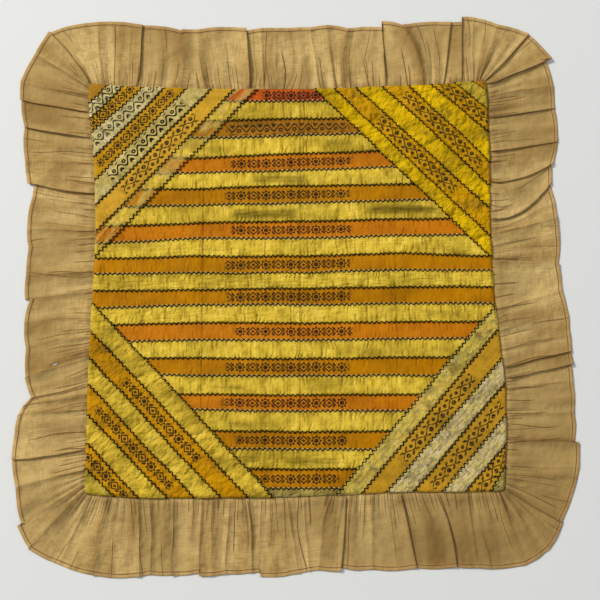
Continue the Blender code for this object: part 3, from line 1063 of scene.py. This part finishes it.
def make_ruffle():
    top, out_rows, u, marks, whole = ruffle_grid()
    points, faces = cloth_shell(top, RUFFLE_THICK, ring=True, floor=LOWEST)
    count = top.shape[0] * top.shape[1]
    flat_u = u.reshape(-1)
    flat_v = out_rows.reshape(-1)
    corner = faces % count
    column = corner % top.shape[1]
    closing = (column == 0) & (column.max(axis=1, keepdims=True) == top.shape[1] - 1)
    around = u.max() + np.linalg.norm(top[-1, 0, :2] - top[-1, -1, :2])
    uv = np.stack((flat_u[corner] + closing * around, flat_v[corner]), axis=-1) * MM
    look = cotton("ruffle_cotton", RUFFLE_PALE, RUFFLE_DARK, gathered=True)
    ruffle = new_mesh("ruffle_cloth", points, faces, [look], face_uv=uv)
    for name, values in marks.items():
        mark_points(ruffle, name, [values])
    finish_piece(ruffle, "ruffle")
    stitches = make_hem_stitches(top, out_rows, whole)


def make_hem_stitches(top, out_rows, whole):
    """Short straight stitches along the hem, a little proud of the cloth."""
    row = int(np.argmin(np.abs(whole.mean() - out_rows.mean(axis=1) - HEM_STITCH)))
    line = np.concatenate((top[row], top[row][:1]))
    parts = []
    for start in np.arange(0.0, run_along(line)[-1] - HEM_STITCH_END, HEM_STITCH_STEP):
        path = points_at(line, np.linspace(start, start + HEM_STITCH_LONG, len(HEM_STITCH_RISE)))
        path[:, 2] += HEM_STITCH_RISE
        parts.append(tube(path, HEM_THREAD_RADIUS, 5))
    points, faces = join(parts)
    look = Look("rust_thread", roughness=0.7)
    look.colour(HEM_THREAD)
    stitches = new_mesh("hem_stitches", points, faces, [look.material])
    return finish_piece(stitches)


def seam_line(row, x):
    """The height of a level seam at x, with the small wander of hand-led cloth."""
    if row < 0:
        return top_edge(x) + 0.5
    if row >= len(LEVEL_SEAMS):
        return bottom_edge(x) - 0.5
    x = np.asarray(x)
    slow = 0.55 * noise(x / 38.0, row * 3.3, 21)
    quick = 0.25 * noise(x / 13.0, row * 5.1, 22)
    return np.interp(x, LEVEL_AT, LEVEL_SEAMS[row]) + slow + quick


SIDE_LINES = {
    side: np.array([seam_on_side(side, along) for along in np.linspace(0.0, FRAMES[side][3], 90)])
    for side in SIDES
}


def top_edge(x):
    return np.interp(x, SIDE_LINES["top"][:, 0], SIDE_LINES["top"][:, 1])


def bottom_edge(x):
    return np.interp(x, SIDE_LINES["bottom"][::-1, 0], SIDE_LINES["bottom"][::-1, 1])


def left_edge(y):
    return np.interp(y, SIDE_LINES["left"][:, 1], SIDE_LINES["left"][:, 0])


def right_edge(y):
    return np.interp(y, SIDE_LINES["right"][::-1, 1], SIDE_LINES["right"][::-1, 0])


def corner_ends(corner, level, upright):
    """Where a corner's slanting seam meets the cover's edges: (level edge, upright edge)."""
    if corner == "top_left":
        return seam_on_side("top", level), seam_on_side("left", FRAMES["left"][3] - upright)
    if corner == "top_right":
        return seam_on_side("top", FRAMES["top"][3] - level), seam_on_side("right", upright)
    if corner == "bottom_right":
        return seam_on_side("bottom", level), seam_on_side("right", FRAMES["right"][3] - upright)
    return seam_on_side("bottom", FRAMES["bottom"][3] - level), seam_on_side("left", upright)


def corner_seam(corner, number, share):
    """Points along a corner's slanting seam, from its level edge to its upright edge."""
    seams = CORNER_SEAMS[corner]
    level, upright = seams[number] if number < len(seams) else (2.5, 2.5)
    start, end = corner_ends(corner, level, upright)
    line = start + (end - start) * np.asarray(share)[:, None]
    length = np.linalg.norm(end - start)
    way = (end - start) / length
    side = np.array((-way[1], way[0]))
    run = np.asarray(share) * length
    seed = sum(map(ord, corner)) % 17 + number * 2.7
    wander = 0.7 * noise(run / 34.0, seed, 23) + 0.3 * noise(run / 12.0, seed, 24)
    fade = np.clip(np.minimum(share, 1 - np.asarray(share)) * length / 10.0, 0, 1)
    return line + side * (wander * fade)[:, None]


def corner_depth(corner, x, y):
    """How far a place lies inside a corner's long seam, in millimetres, and below 0 outside it."""
    start, end = corner_ends(corner, *CORNER_SEAMS[corner][0])
    way = (end - start) / np.linalg.norm(end - start)
    normal = np.array((-way[1], way[0]))
    tip = np.array(CORNERS[corner]) - start
    if tip @ normal < 0:
        normal = -normal
    return (x - start[0]) * normal[0] + (y - start[1]) * normal[1]


def fade_from(spot, x, y):
    """1 at the middle of a turned oval spot, falling away past its half length and width."""
    turn = np.radians(spot.turn)
    dx, dy = x - spot.x, y - spot.y
    long = (dx * np.cos(turn) + dy * np.sin(turn)) / spot.half_length
    wide = (dy * np.cos(turn) - dx * np.sin(turn)) / spot.half_width
    return np.exp(-(long**2) - wide**2)


def edge_distance(x, y):
    """How far inside the cover's outline a place is."""
    return np.minimum.reduce((x - left_edge(y), right_edge(y) - x, y - bottom_edge(x), top_edge(x) - y))


def front_base(x, y):
    """The height of the front's top over the table, before its ribbons' own puffs."""
    inside = smooth((edge_distance(x, y) - 5.0) / LIP_COVER)
    slack = sum(swell.rise * fade_from(swell, x, y) for swell in SWELLS)
    slack = slack + 0.35 * noise(x / 45.0, y / 30.0, 31) + 0.2 * noise(x / 16.0, y / 14.0, 32)
    for fold_x, depth in FRONT_CREASES:
        slack = slack - depth * np.exp(-(((x - fold_x) / 1.3) ** 2))
    roll = 1.4 * smooth(1 - edge_distance(x, y) / 2.2)
    return FRONT_OVER_LIP + inside * (FRONT_OVER_BACK - FRONT_OVER_LIP + slack) - roll


Strips = namedtuple("Strips", "points faces slots uv values")
# How a ribbon's middle puffs up: its rise, how far apart its dents are and how deep they go
Puff = namedtuple("Puff", "rise pitch dent")
LOOSE_PUFF = Puff(0.45, 8.0, 0.3)
TAUT_PUFF = Puff(0.27, 14.0, 0.1)
SCALLOP = 0.25
CORNER_PUFF = {
    "top_left": Puff(0.5, 11.0, 0.15),
    "top_right": Puff(1.4, 6.0, 0.7),
    "bottom_right": Puff(0.6, 11.0, 0.18),
    "bottom_left": Puff(1.2, 6.5, 0.6),
}
# The level ribbons that are more wrinkled lengthwise than the others, by their number
WRINKLED = {9: 0.5, 11: 1.0, 13: 0.6, 21: 0.6, 23: 1.0}


def slack_at(x, y):
    """How far a place of the satin lies in a slack, unlit trough."""
    depth = 0.0
    for slack in SLACKS:
        sag = slack.y - slack.bow * (1 - ((x - slack.x) / slack.half_length) ** 2)
        across = np.minimum(1.0, 1.7 * np.exp(-(((y - sag) / slack.half_width) ** 2)))
        along = smooth(3.0 - 3.0 * np.abs(x - slack.x) / slack.half_length)
        depth = np.maximum(depth, slack.depth * across * along)
    return depth


def stained_at(x, y):
    """How dark a place of the silk is stained."""
    return np.maximum.reduce([stain.depth * fade_from(stain, x, y) for stain in STAINS])


def strip(top, kind_slot, middle_run, printed, puff, marks):
    """One ribbon over rows by columns of places, with its own marks for its look to use."""
    rows, columns = top.shape[:2]
    share = np.linspace(0.0, 1.0, rows)[:, None] * np.ones(columns)
    ends = top[rows // 2, (0, -1), :2]
    way = (ends[1] - ends[0]) / np.linalg.norm(ends[1] - ends[0])
    along = (top[..., :2] - ends.mean(axis=0)) @ way + middle_run
    across = (0.5 - share) * np.linalg.norm(top[-1, :, :2] - top[0, :, :2], axis=1)
    arch = np.sin(np.pi * share) ** 0.6
    seed = float(marks["tone"] * 37 + kind_slot * 5 + top[0, 0, 1] / 9.0)
    life = 1 + 0.5 * noise(along / 17.0, share * 1.5 + seed, 41)
    dents = noise(along / puff.pitch, share * 1.3 + seed, 42)
    lift = puff.rise * arch * life + puff.dent * arch * dents
    gather = noise(along / 2.3, share * 0.8 + seed, 43) * smooth(arch * 3)
    top = top.copy()
    top[..., 2] += lift + SCALLOP * (1 - arch) ** 0.6 * gather
    points, faces = cloth_shell(top, RIBBON_THICK)
    corner = faces % (rows * columns)
    uv = np.stack((along.reshape(-1)[corner], across.reshape(-1)[corner]), axis=-1) * MM
    zone = smooth((along - printed[0]) / 1.5) * smooth((printed[1] - along) / 1.5)
    values = {name: np.full(rows * columns, value) for name, value in marks.items()}
    values["edge"] = np.sin(np.pi * share).reshape(-1)
    values["printed"] = zone.reshape(-1)
    values["slack"] = marks["level"] * slack_at(top[..., 0], top[..., 1]).reshape(-1)
    values["stained"] = stained_at(top[..., 0], top[..., 1]).reshape(-1)
    values["place"] = np.full(rows * columns, seed)
    return Strips(points, faces, np.full(len(faces), kind_slot), uv, values)


def join_strips(name, strips, looks):
    points, faces = join([(one.points, one.faces) for one in strips])
    slots = np.concatenate([one.slots for one in strips])
    uv = np.concatenate([one.uv for one in strips])
    obj = new_mesh(name, points, faces, looks, slots, uv)
    for attribute in strips[0].values:
        mark_points(obj, attribute, [one.values[attribute] for one in strips])
    return obj


def level_limits(y):
    """How far the level rows run to the left and right at a height, just under the corners."""
    left, right = left_edge(y) + EDGE_IN, right_edge(y) - EDGE_IN
    for corner in CORNERS:
        start, end = corner_ends(corner, *CORNER_SEAMS[corner][0])
        under = UNDER_VEIL if corner in SHEER_CORNERS else UNDER_CORNER
        slope = (end[0] - start[0]) / (end[1] - start[1])
        at_seam = start[0] + slope * (y - start[1])
        within = (y > min(start[1], end[1])) & (y < max(start[1], end[1]))
        if corner.endswith("left"):
            left = np.where(within, np.maximum(left, at_seam - under), left)
        else:
            right = np.where(within, np.minimum(right, at_seam + under), right)
    return left, right


def make_level_rows(looks):
    names = list(looks)
    strips = []
    ribbons = []
    for pair in RIBBON_PAIRS:
        ribbons.append((pair.kind, pair.tone, (pair.print_from, pair.print_to)))
        ribbons.append((pair.kind_below, pair.tone_below, (0, 0)))
    for number, (kind, tone, printed) in enumerate(ribbons):
        over = kind in OVERLAPPING
        lap = LAP_OVER if over else LAP_UNDER
        rows = []
        middle_y = float(seam_line(number - 1, MIDDLE_X) + seam_line(number, MIDDLE_X)) / 2
        left, right = level_limits(np.full(2, middle_y))
        columns = int(round((right[0] - left[0]) / LEVEL_STEP))
        for share in np.linspace(0.0, 1.0, LEVEL_ROWS):
            x = np.linspace(left[0], right[0], columns)
            for _ in range(3):
                upper = seam_line(number - 1, x) + lap * (number > 0)
                lower = seam_line(number, x) - lap * (number < len(LEVEL_SEAMS))
                y = upper * (1 - share) + lower * share
                y = np.clip(y, bottom_edge(x) + EDGE_IN, top_edge(x) - EDGE_IN)
                ends = level_limits(np.array((y[0], y[-1])))
                x = np.linspace(ends[0][0], ends[1][1], columns)
            z = front_base(x, y) + (OVER_RISE if over else 0.0)
            rows.append(np.stack((x, y, z), axis=1))
        top = np.array(rows)
        middle_run = (top[LEVEL_ROWS // 2, 0, 0] + top[LEVEL_ROWS // 2, -1, 0]) / 2
        marks = {
            "tone": tone,
            "level": 1.0,
            "quilted": LEVEL_QUILT if over else 0.0,
            "wrinkled": WRINKLED.get(number, 0.1),
        }
        puff = LOOSE_PUFF if over else TAUT_PUFF
        strips.append(strip(top, names.index(kind), middle_run, printed, puff, marks))
    cloth = join_strips("ribbons_level", strips, list(looks.values()))
    return finish_piece(cloth, "front_panel")


def make_corner(corner, looks):
    names = list(looks)
    strips = []
    seams = CORNER_SEAMS[corner]
    for number, kind in enumerate(CORNER_RIBBONS[corner]):
        level, upright = seams[number]
        length = np.hypot(level, upright)
        columns = max(6, int(round(length / CORNER_STEP)))
        share = np.linspace(0.0, 1.0, columns)
        over = kind in OVERLAPPING
        first = corner_seam(corner, number, share)
        second = corner_seam(corner, number + 1, share)
        apart = max(4.0, float(np.linalg.norm(second - first, axis=1).mean()))
        lap = (CORNER_LAP_OVER if over else CORNER_LAP_UNDER) / apart
        last = number == len(seams) - 1
        rows = []
        for place in np.linspace(-lap if number else -0.06, 1.0 if last else 1.0 + lap, CORNER_ROWS):
            flat = first * (1 - place) + second * place
            x, y = flat.T
            x = np.clip(x, left_edge(y) + EDGE_IN, right_edge(y) - EDGE_IN)
            y = np.clip(y, bottom_edge(x) + EDGE_IN, top_edge(x) - EDGE_IN)
            z = front_base(x, y) + CORNER_OVER + (OVER_RISE if over else 0.0)
            rows.append(np.stack((x, y, z), axis=1))
        half = min(CORNER_PRINT, length / 2 - PRINT_FROM_END)
        marks = {
            "tone": 0.25 * float(noise(number * 1.7, sum(map(ord, corner)) % 13, 51)),
            "level": 0.0,
            "quilted": CORNER_QUILT[corner],
            "wrinkled": 0.2,
        }
        puff = CORNER_PUFF[corner]
        strips.append(strip(np.array(rows), names.index(kind), 0.0, (-half, half), puff, marks))
    cloth = join_strips("ribbons_" + corner, strips, list(looks.values()))
    return finish_piece(cloth, "front_panel")


def wave_thread(line, step, reach, radius, phase, lift):
    """A thread that swings from side to side along a line of points on the cloth."""
    places = np.arange(0.0, run_along(line)[-1], step / 3.0)
    path = points_at(line, places)
    way = unit(np.gradient(path[:, :2], axis=0))
    side = np.stack((-way[:, 1], way[:, 0]), axis=1)
    turn = np.pi * places / step + phase
    swing = np.clip(1.25 * np.sin(turn + 0.5 * noise(places / 9.0, line[0, 1] / 7.0, 61)), -1, 1)
    swing = swing * (1 + 0.18 * noise(places / 5.0, line[0, 0] / 7.0, 62))
    path[:, :2] += side * (swing * reach)[:, None]
    path[:, 2] += lift
    return tube(path, radius, 4)


def cloth_height(x, y, corner=False):
    return front_base(x, y) + RIBBON_THICK + (CORNER_OVER if corner else 0.0)


def make_stitches():
    """The zigzag rows over every seam, in dark thread, with pale loops beside some."""
    dark, dark_corner, pale = [], [], []
    for row in range(len(LEVEL_SEAMS)):
        left, right = level_limits(np.full(1, seam_line(row, MIDDLE_X)))
        x = np.arange(left[0] + STITCH_IN, right[0] - STITCH_IN, PATH_STEP)
        y = seam_line(row, x)
        hidden = np.zeros(len(x), bool)
        for corner in CORNERS:
            stitched = STITCHED_UNDER_VEIL if corner in SHEER_CORNERS else STITCHED_UNDER_CORNER
            hidden |= corner_depth(corner, x, y) > stitched
        x, y = x[~hidden], y[~hidden]
        line = np.stack((x, y, cloth_height(x, y)), axis=1)
        dark.append(wave_thread(line, ZIGZAG_STEP, ZIGZAG_REACH, THREAD_RADIUS, 0.0, THREAD_LIFT))
        if row % 2 == 0:
            pale.append(wave_thread(line, ZIGZAG_STEP, LOOP_REACH, LOOP_RADIUS, np.pi, 0.0))
    for corner in CORNERS:
        for number, (level, upright) in enumerate(CORNER_SEAMS[corner]):
            length = np.hypot(level, upright)
            share = np.linspace(0.004, 0.996, max(6, int(length / PATH_STEP)))
            flat = corner_seam(corner, number, share)
            z = cloth_height(flat[:, 0], flat[:, 1], True)
            line = np.stack((flat[:, 0], flat[:, 1], z), axis=1)
            dark_corner.append(wave_thread(line, ZIGZAG_STEP, CORNER_REACH, THREAD_RADIUS, 0.0, THREAD_LIFT))
    black = Look("dark_thread", roughness=1.0, specular=0.0)
    black.colour(BLACK_THREAD)
    cream = Look("pale_thread", roughness=0.7)
    cream.colour(LOOP_THREAD)
    for name, parts, look in (("seam_stitches", dark, black), ("corner_stitches", dark_corner, black),
                              ("seam_loops", pale, cream)):
        points, faces = join(parts)
        finish_piece(new_mesh(name, points, faces, [look.material]))


def wrap(value, period):
    """The place within the nearest repeat, from minus to plus half the period."""
    return ((value * (1.0 / period) + 0.5).math("FRACT") - 0.5) * period


def garland(x, y):
    """Rosettes and lozenges by turns, with leaves between them, in millimetres."""
    bead = wrap(x, 25.0)
    far = hypot(bead, y)
    petals = (y.math("ARCTAN2", bead) * 8.0).math("COSINE") * 0.8 + 4.7
    rosette = (far - petals).under(0.0) - abs(far - 2.7).under(0.45)
    slant = abs(wrap(x + 12.5, 25.0) * 0.85) + abs(y)
    lozenge = abs(slant - 4.2).under(0.85)
    leaves = leaf(abs(bead) - 7.4, abs(y), 0.0, 2.7, 2.3, 1.1, 48.0)
    return rosette.most(lozenge, slant.under(1.7), leaves)


def scroll(x, y):
    """A bold running scroll with blots in its bends and small marks outside them."""
    stem = (x * (2 * np.pi / 14.0)).math("SINE") * 3.2
    bend = wrap(x - 3.5, 14.0)
    other = wrap(x + 3.5, 14.0)
    blot = hypot(bend, y + 2.2)
    lower = leaf(abs(other), y, 0.6, 2.6, 2.7, 1.3, 55.0)
    ticks = leaf(other, y, 0.0, -6.4, 2.4, 0.7, 8.0)
    return abs(y - stem).under(1.15).most(blot.under(2.3) - blot.under(0.7), lower, ticks)


def vine(x, y):
    """A wandering stem with leaves at its bends and berries between."""
    stem = (x * (2 * np.pi / 17.0)).math("SINE") * 2.2
    bend = wrap(x - 4.25, 17.0)
    other = wrap(x + 4.25, 17.0)
    upper = leaf(abs(bend), y, 2.9, 4.2, 2.4, 1.2, 24.0)
    lower = leaf(abs(other), y, 2.9, -4.2, 2.4, 1.2, -24.0)
    bloom = hypot(bend, y + 2.3).under(2.5)
    berry = hypot(other, y - 2.3).under(1.9)
    return abs(y - stem).under(0.75).most(upper, lower, bloom, berry)


# The kinds of ribbon: their two colours, how dark their edges are from grime and painted shade, their
# printing and how much of it may be rubbed away, the colour of their torn streaks, and the least
# cover of thin ones
Ribbon = namedtuple(
    "Ribbon", "bright deep dirt print worn streak thinnest", defaults=(None, 0.0, None, 0.0)
)
INK = (0.013, 0.010, 0.006)
SMUDGE = (0.08, 0.065, 0.012)
# Grime and painted shade along the seams
SEAM_DIRT_AND_SHADE = (0.07, 0.04, 0.008)
# The painted shade in the hollows of crumpled silk
HOLLOW_SHADE = (0.20, 0.16, 0.06)
# The painted shade of slack troughs
SLACK_OLIVE = (0.105, 0.072, 0.004)
# The tint of the satin's painted highlights
GLEAM = (1.22, 1.28, 1.9)
VEIL_COVER = 0.28
# The quilting's creases lie this far apart, in metres
QUILT_PITCH = 0.0125
# The tint of the painted shade in creases
SEAM_SHADE = (0.38, 0.33, 0.22)
RIBBONS = {
    "yellow": Ribbon((0.76, 0.52, 0.045), (0.33, 0.215, 0.012), 0.52),
    "old_gold": Ribbon((0.71, 0.475, 0.037), (0.31, 0.20, 0.013), 0.55),
    "straw": Ribbon((0.44, 0.33, 0.07), (0.15, 0.11, 0.025), 0.7, streak=(0.25, 0.17, 0.04)),
    "mustard": Ribbon((0.72, 0.44, 0.001), (0.32, 0.195, 0.002), 0.4),
    "lemon": Ribbon((0.50, 0.35, 0.03), (0.23, 0.165, 0.014), 0.5),
    "flame": Ribbon((0.52, 0.095, 0.008), (0.30, 0.05, 0.005), 0.5, garland, 0.1),
    "orange_print": Ribbon((0.58, 0.19, 0.004), (0.36, 0.11, 0.003), 0.5, garland, 0.1),
    "amber_print": Ribbon((0.50, 0.20, 0.001), (0.31, 0.12, 0.001), 0.5, garland, 0.1),
    "brown_print": Ribbon((0.40, 0.165, 0.007), (0.22, 0.088, 0.006), 0.5, scroll, 0.25),
    "amber_slant": Ribbon((0.58, 0.27, 0.001), (0.34, 0.155, 0.002), 0.45, garland, 0.1),
    "faded_slant": Ribbon((0.66, 0.36, 0.024), (0.42, 0.225, 0.017), 0.4, vine, 0.35),
    "ochre_print": Ribbon((0.53, 0.28, 0.015), (0.32, 0.17, 0.012), 0.4, vine, 0.4),
    "gold_print": Ribbon((0.58, 0.295, 0.001), (0.33, 0.165, 0.002), 0.45, vine, 0.2),
    "amber_dense": Ribbon((0.54, 0.27, 0.006), (0.32, 0.16, 0.005), 0.5, garland, 0.1),
    "cream_dense": Ribbon((0.68, 0.55, 0.22), (0.36, 0.29, 0.11), 0.5, scroll, 0.45),
    "cream_print": Ribbon((0.60, 0.46, 0.13), (0.36, 0.27, 0.075), 0.5, scroll, 0.0),
    "rust": Ribbon((0.38, 0.18, 0.012), (0.22, 0.09, 0.008), 0.5),
    "worn": Ribbon((0.60, 0.465, 0.20), (0.37, 0.29, 0.13), 0.4, streak=(0.60, 0.47, 0.10)),
    "veil": Ribbon((0.82, 0.62, 0.15), (0.64, 0.46, 0.09), 0.3, thinnest=0.02),
    "torn_veil": Ribbon((0.88, 0.68, 0.15), (0.60, 0.45, 0.09), 0.4, None, 0.0, (0.92, 0.71, 0.10), 0.36),
}


SilkPlace = namedtuple("SilkPlace", "u v x y edge number quilted")


def silk_ground(look, at, ribbon, loose):
    """The ribbon's cloudy colour, with painted highlights and painted shade over its fine ribs and puckers:
    (colour, the ribs' height).
    """
    cloud = grain(at.x, at.y, 14.0, 40.0, detail=3.0) - look.value("tone") * 0.22
    colour = look.mix(cloud.ramp(0.38, 0.82), ribbon.bright, ribbon.deep)
    ribs = grain(at.u, at.v, 520.0, 40.0, at.number, detail=3.0)
    broad = grain(at.u, at.v, 120.0, 70.0, at.number)
    shade = ribs * 0.45 + broad * 0.55
    # Painted highlights and painted shade by the ribs and puckers
    colour = look.tint(shade.ramp(0.36, 0.49, 0.9 * loose, 0.0), colour, GLEAM)
    colour = look.mix(shade.ramp(0.49, 0.64, 0.0, 0.4 + 0.35 * loose), colour, ribbon.deep)
    specks = grain(at.x, at.y, 900.0, 900.0)
    colour = look.mix(specks.ramp(0.4, 0.7, 0.0, 0.4), colour, ribbon.deep)
    return colour, ribs * 0.3 + broad * (1.5 + 1.5 * loose)


def seam_gathers(look, at, colour, height, loose):
    """Short gathers that run in from both seams of a ribbon, some of them right across, with painted shade
    in their creases.
    """
    seed = at.number + at.v.math("GREATER_THAN", 0.0) * 19.3
    lean = grain(at.x, at.y, 22.0, 60.0, 3.0, detail=1.0) - 0.5
    away, number = creases(at.u + at.v * (lean * 1.6), at.v, 0.0042, 2.6, at.number)
    reach = lot(number, 3.7, seed).ramp(0.4, 0.72, 0.0, 1.2)
    amount = (reach - at.edge).ramp(-0.35, 0.25) * (1.0 - at.quilted * 0.7)
    lines = away.ramp(0.0, 0.0011, 0.42, 0.0) * amount
    # Painted shade in the gathers' creases
    colour = look.tint(lines * (0.25 + 0.75 * loose), colour, SEAM_SHADE)
    return colour, height + away.ramp(0.0, 0.0018) * amount * (0.3 + 0.6 * loose)


def quilting(look, at, colour, height):
    """Uneven pillows with soft creases of painted shade between them, and dark smudges here and there."""
    away, number = creases(at.u + at.v * 0.45, at.v, QUILT_PITCH, 2.6, at.number)
    lines = crease_lines(away, number, at.number, 0.0013, 0.5, 0.5)
    lines = lines * grain(at.x, at.y, 120.0, 120.0, 4.0).ramp(0.4, 0.6)
    lines = lines * at.edge.ramp(0.4, 1.0, 1.0, 0.6)
    # Painted shade in the creases between the pillows
    colour = look.tint(lines * at.quilted, colour, SEAM_SHADE)
    smudge = grain(at.x, at.y, 42.0, 42.0, 2.0, detail=4.0).ramp(0.55, 0.72, 0.0, 0.6)
    colour = look.mix(smudge * at.quilted, colour, SMUDGE)
    rounded = away * (2.0 / QUILT_PITCH)
    lumps = grain(at.x, at.y, 96.0, 96.0, detail=1.0)
    small = grain(at.x, at.y, 230.0, 230.0, 1.0, detail=1.0)
    pillows = rounded * (2.0 - rounded) * 0.7 + (lumps * 5.0 + small * 3.0)
    return colour, height + pillows * at.quilted


def crumpling(look, at, colour, height, streak):
    """Split and crumpled old silk: streaks lengthwise, painted grey shade in its hollows, and small ridges.
    """
    split = grain(at.u, at.v, 75.0, 280.0, at.number, detail=3.0)
    colour = look.mix(split.ramp(0.47, 0.6, 0.0, 0.75), colour, streak)
    # Painted grey shade in the crumples' hollows
    hollow_shade = grain(at.x, at.y, 95.0, 95.0, 6.0, detail=4.0)
    colour = look.mix(hollow_shade.ramp(0.5, 0.68, 0.0, 0.65), colour, HOLLOW_SHADE)
    ridges = grain(at.u, at.v, 110.0, 230.0, at.number)
    fine = grain(at.x, at.y, 210.0, 210.0, 3.0)
    return colour, height + (ridges * 3.0 + fine * 3.2)


def stains_dirt_and_shade(look, at, colour, ribbon):
    """Grime and painted shade along the seams, stains, painted shade in slack patches without light, and
    painted shade in the old folds of the whole front.
    """
    # Grime and painted shade along each ribbon's seams
    patchy = grain(at.u, at.v, 220.0, 90.0, at.number).ramp(0.3, 0.65, 0.25, 1.0)
    dirt_and_shade = (1.0 - at.edge).math("POWER", 3.2) * patchy * ribbon.dirt
    colour = look.mix(dirt_and_shade, colour, SEAM_DIRT_AND_SHADE)
    mottled = grain(at.x, at.y, 150.0, 150.0, 9.0, detail=3.0).ramp(0.35, 0.6, 0.35, 1.0)
    colour = look.mix(look.value("stained") * mottled, colour, SMUDGE)
    # Painted shade in slack troughs that catch no light
    sagging = grain(at.u, at.v, 60.0, 420.0, at.number).ramp(0.4, 0.62, 1.0, 0.7)
    colour = look.mix(look.value("slack") * sagging, colour, SLACK_OLIVE)
    across, _ = on_cover(at.x, at.y)
    # Painted shade in the old folds
    for fold_x, depth in FRONT_CREASES:
        line = abs(across - fold_x).ramp(0.3, 1.2, depth, 0.0) * look.value("level")
        colour = look.tint(line, colour, SEAM_SHADE)
    return colour


def satin(kind):
    """Ribbon silk, soiled and gathered, with painted highlights and painted shade, and its printing if it
    has any.
    """
    ribbon = RIBBONS[kind]
    loose = 1.0 if kind in OVERLAPPING else 0.3
    look = Look(kind, roughness=0.6, specular=0.05)
    look.surface["Anisotropic"].default_value = 0.4
    u, v = look.uv()
    at = SilkPlace(u, v, *look.place(), *map(look.value, ("edge", "place", "quilted")))
    colour, height = silk_ground(look, at, ribbon, loose)
    colour, height = seam_gathers(look, at, colour, height, loose)
    colour, height = quilting(look, at, colour, height)
    if ribbon.streak:
        colour, height = crumpling(look, at, colour, height, ribbon.streak)
    colour = stains_dirt_and_shade(look, at, colour, ribbon)
    if ribbon.print:
        rubbed = 0.2 * ribbon.worn
        kept = grain(u, v, 500.0, 500.0).ramp(0.35 + rubbed, 0.7 + rubbed, 1.0, 0.0)
        mask = ribbon.print(u * (1 / MM), v * (1 / MM)) * kept.most(1.0 - ribbon.worn)
        colour = look.mix(mask * look.value("printed"), colour, INK)
    look.colour(colour)
    crossed = grain(u, v, 70.0, 330.0, at.number)
    look.bump(height + crossed * look.value("wrinkled") * 3.0, 0.9)
    if ribbon.thinnest:
        threads = grain(u, v, 60.0, 150.0, at.number, detail=3.0)
        alpha = threads.ramp(0.4, 0.66, ribbon.thinnest, VEIL_COVER + ribbon.thinnest)
        look.feed(look.surface["Alpha"], alpha)
    return look.material


def make_front():
    looks = {kind: satin(kind) for kind in RIBBONS}
    rows = make_level_rows(looks)
    for corner in CORNERS:
        cloth = make_corner(corner, looks)
    make_stitches()


def make_back():
    """The plain back under everything, cut to the cover's outline."""
    even = np.linspace(0.0, 1.0, len(SIDE_LINES["top"]))
    shares = np.linspace(0.0, 1.0, BACK_ROWS)
    down, across = np.meshgrid(shares, shares, indexing="ij")
    top = np.empty((BACK_ROWS, BACK_ROWS, 3))
    for axis in (0, 1):
        start = np.interp(down, even, SIDE_LINES["left"][::-1, axis])
        end = np.interp(down, even, SIDE_LINES["right"][:, axis])
        top[..., axis] = start * (1 - across) + end * across
    for line, weight in ((SIDE_LINES["top"], 1 - down), (SIDE_LINES["bottom"][::-1], down)):
        straight = np.interp(across, (0, 1), (line[0, 1], line[-1, 1]))
        top[..., 1] += (np.interp(across, even, line[:, 1]) - straight) * weight
    top[..., 2] = BACK_TOP + 0.12 * noise(top[..., 0] / 30.0, top[..., 1] / 30.0, 71)
    points, faces = cloth_shell(top, BACK_THICK, floor=LOWEST)
    uv = points[:, :2][faces % BACK_ROWS**2] * MM
    look = cotton("back_cotton", BACK_PALE, BACK_DARK)
    back = new_mesh("back_cloth", points, faces, [look], face_uv=uv)
    finish_piece(back, "back_panel")


def main():
    set_camera()
    set_lights()
    stage_floor()
    make_back()
    make_ruffle()
    make_front()


main()
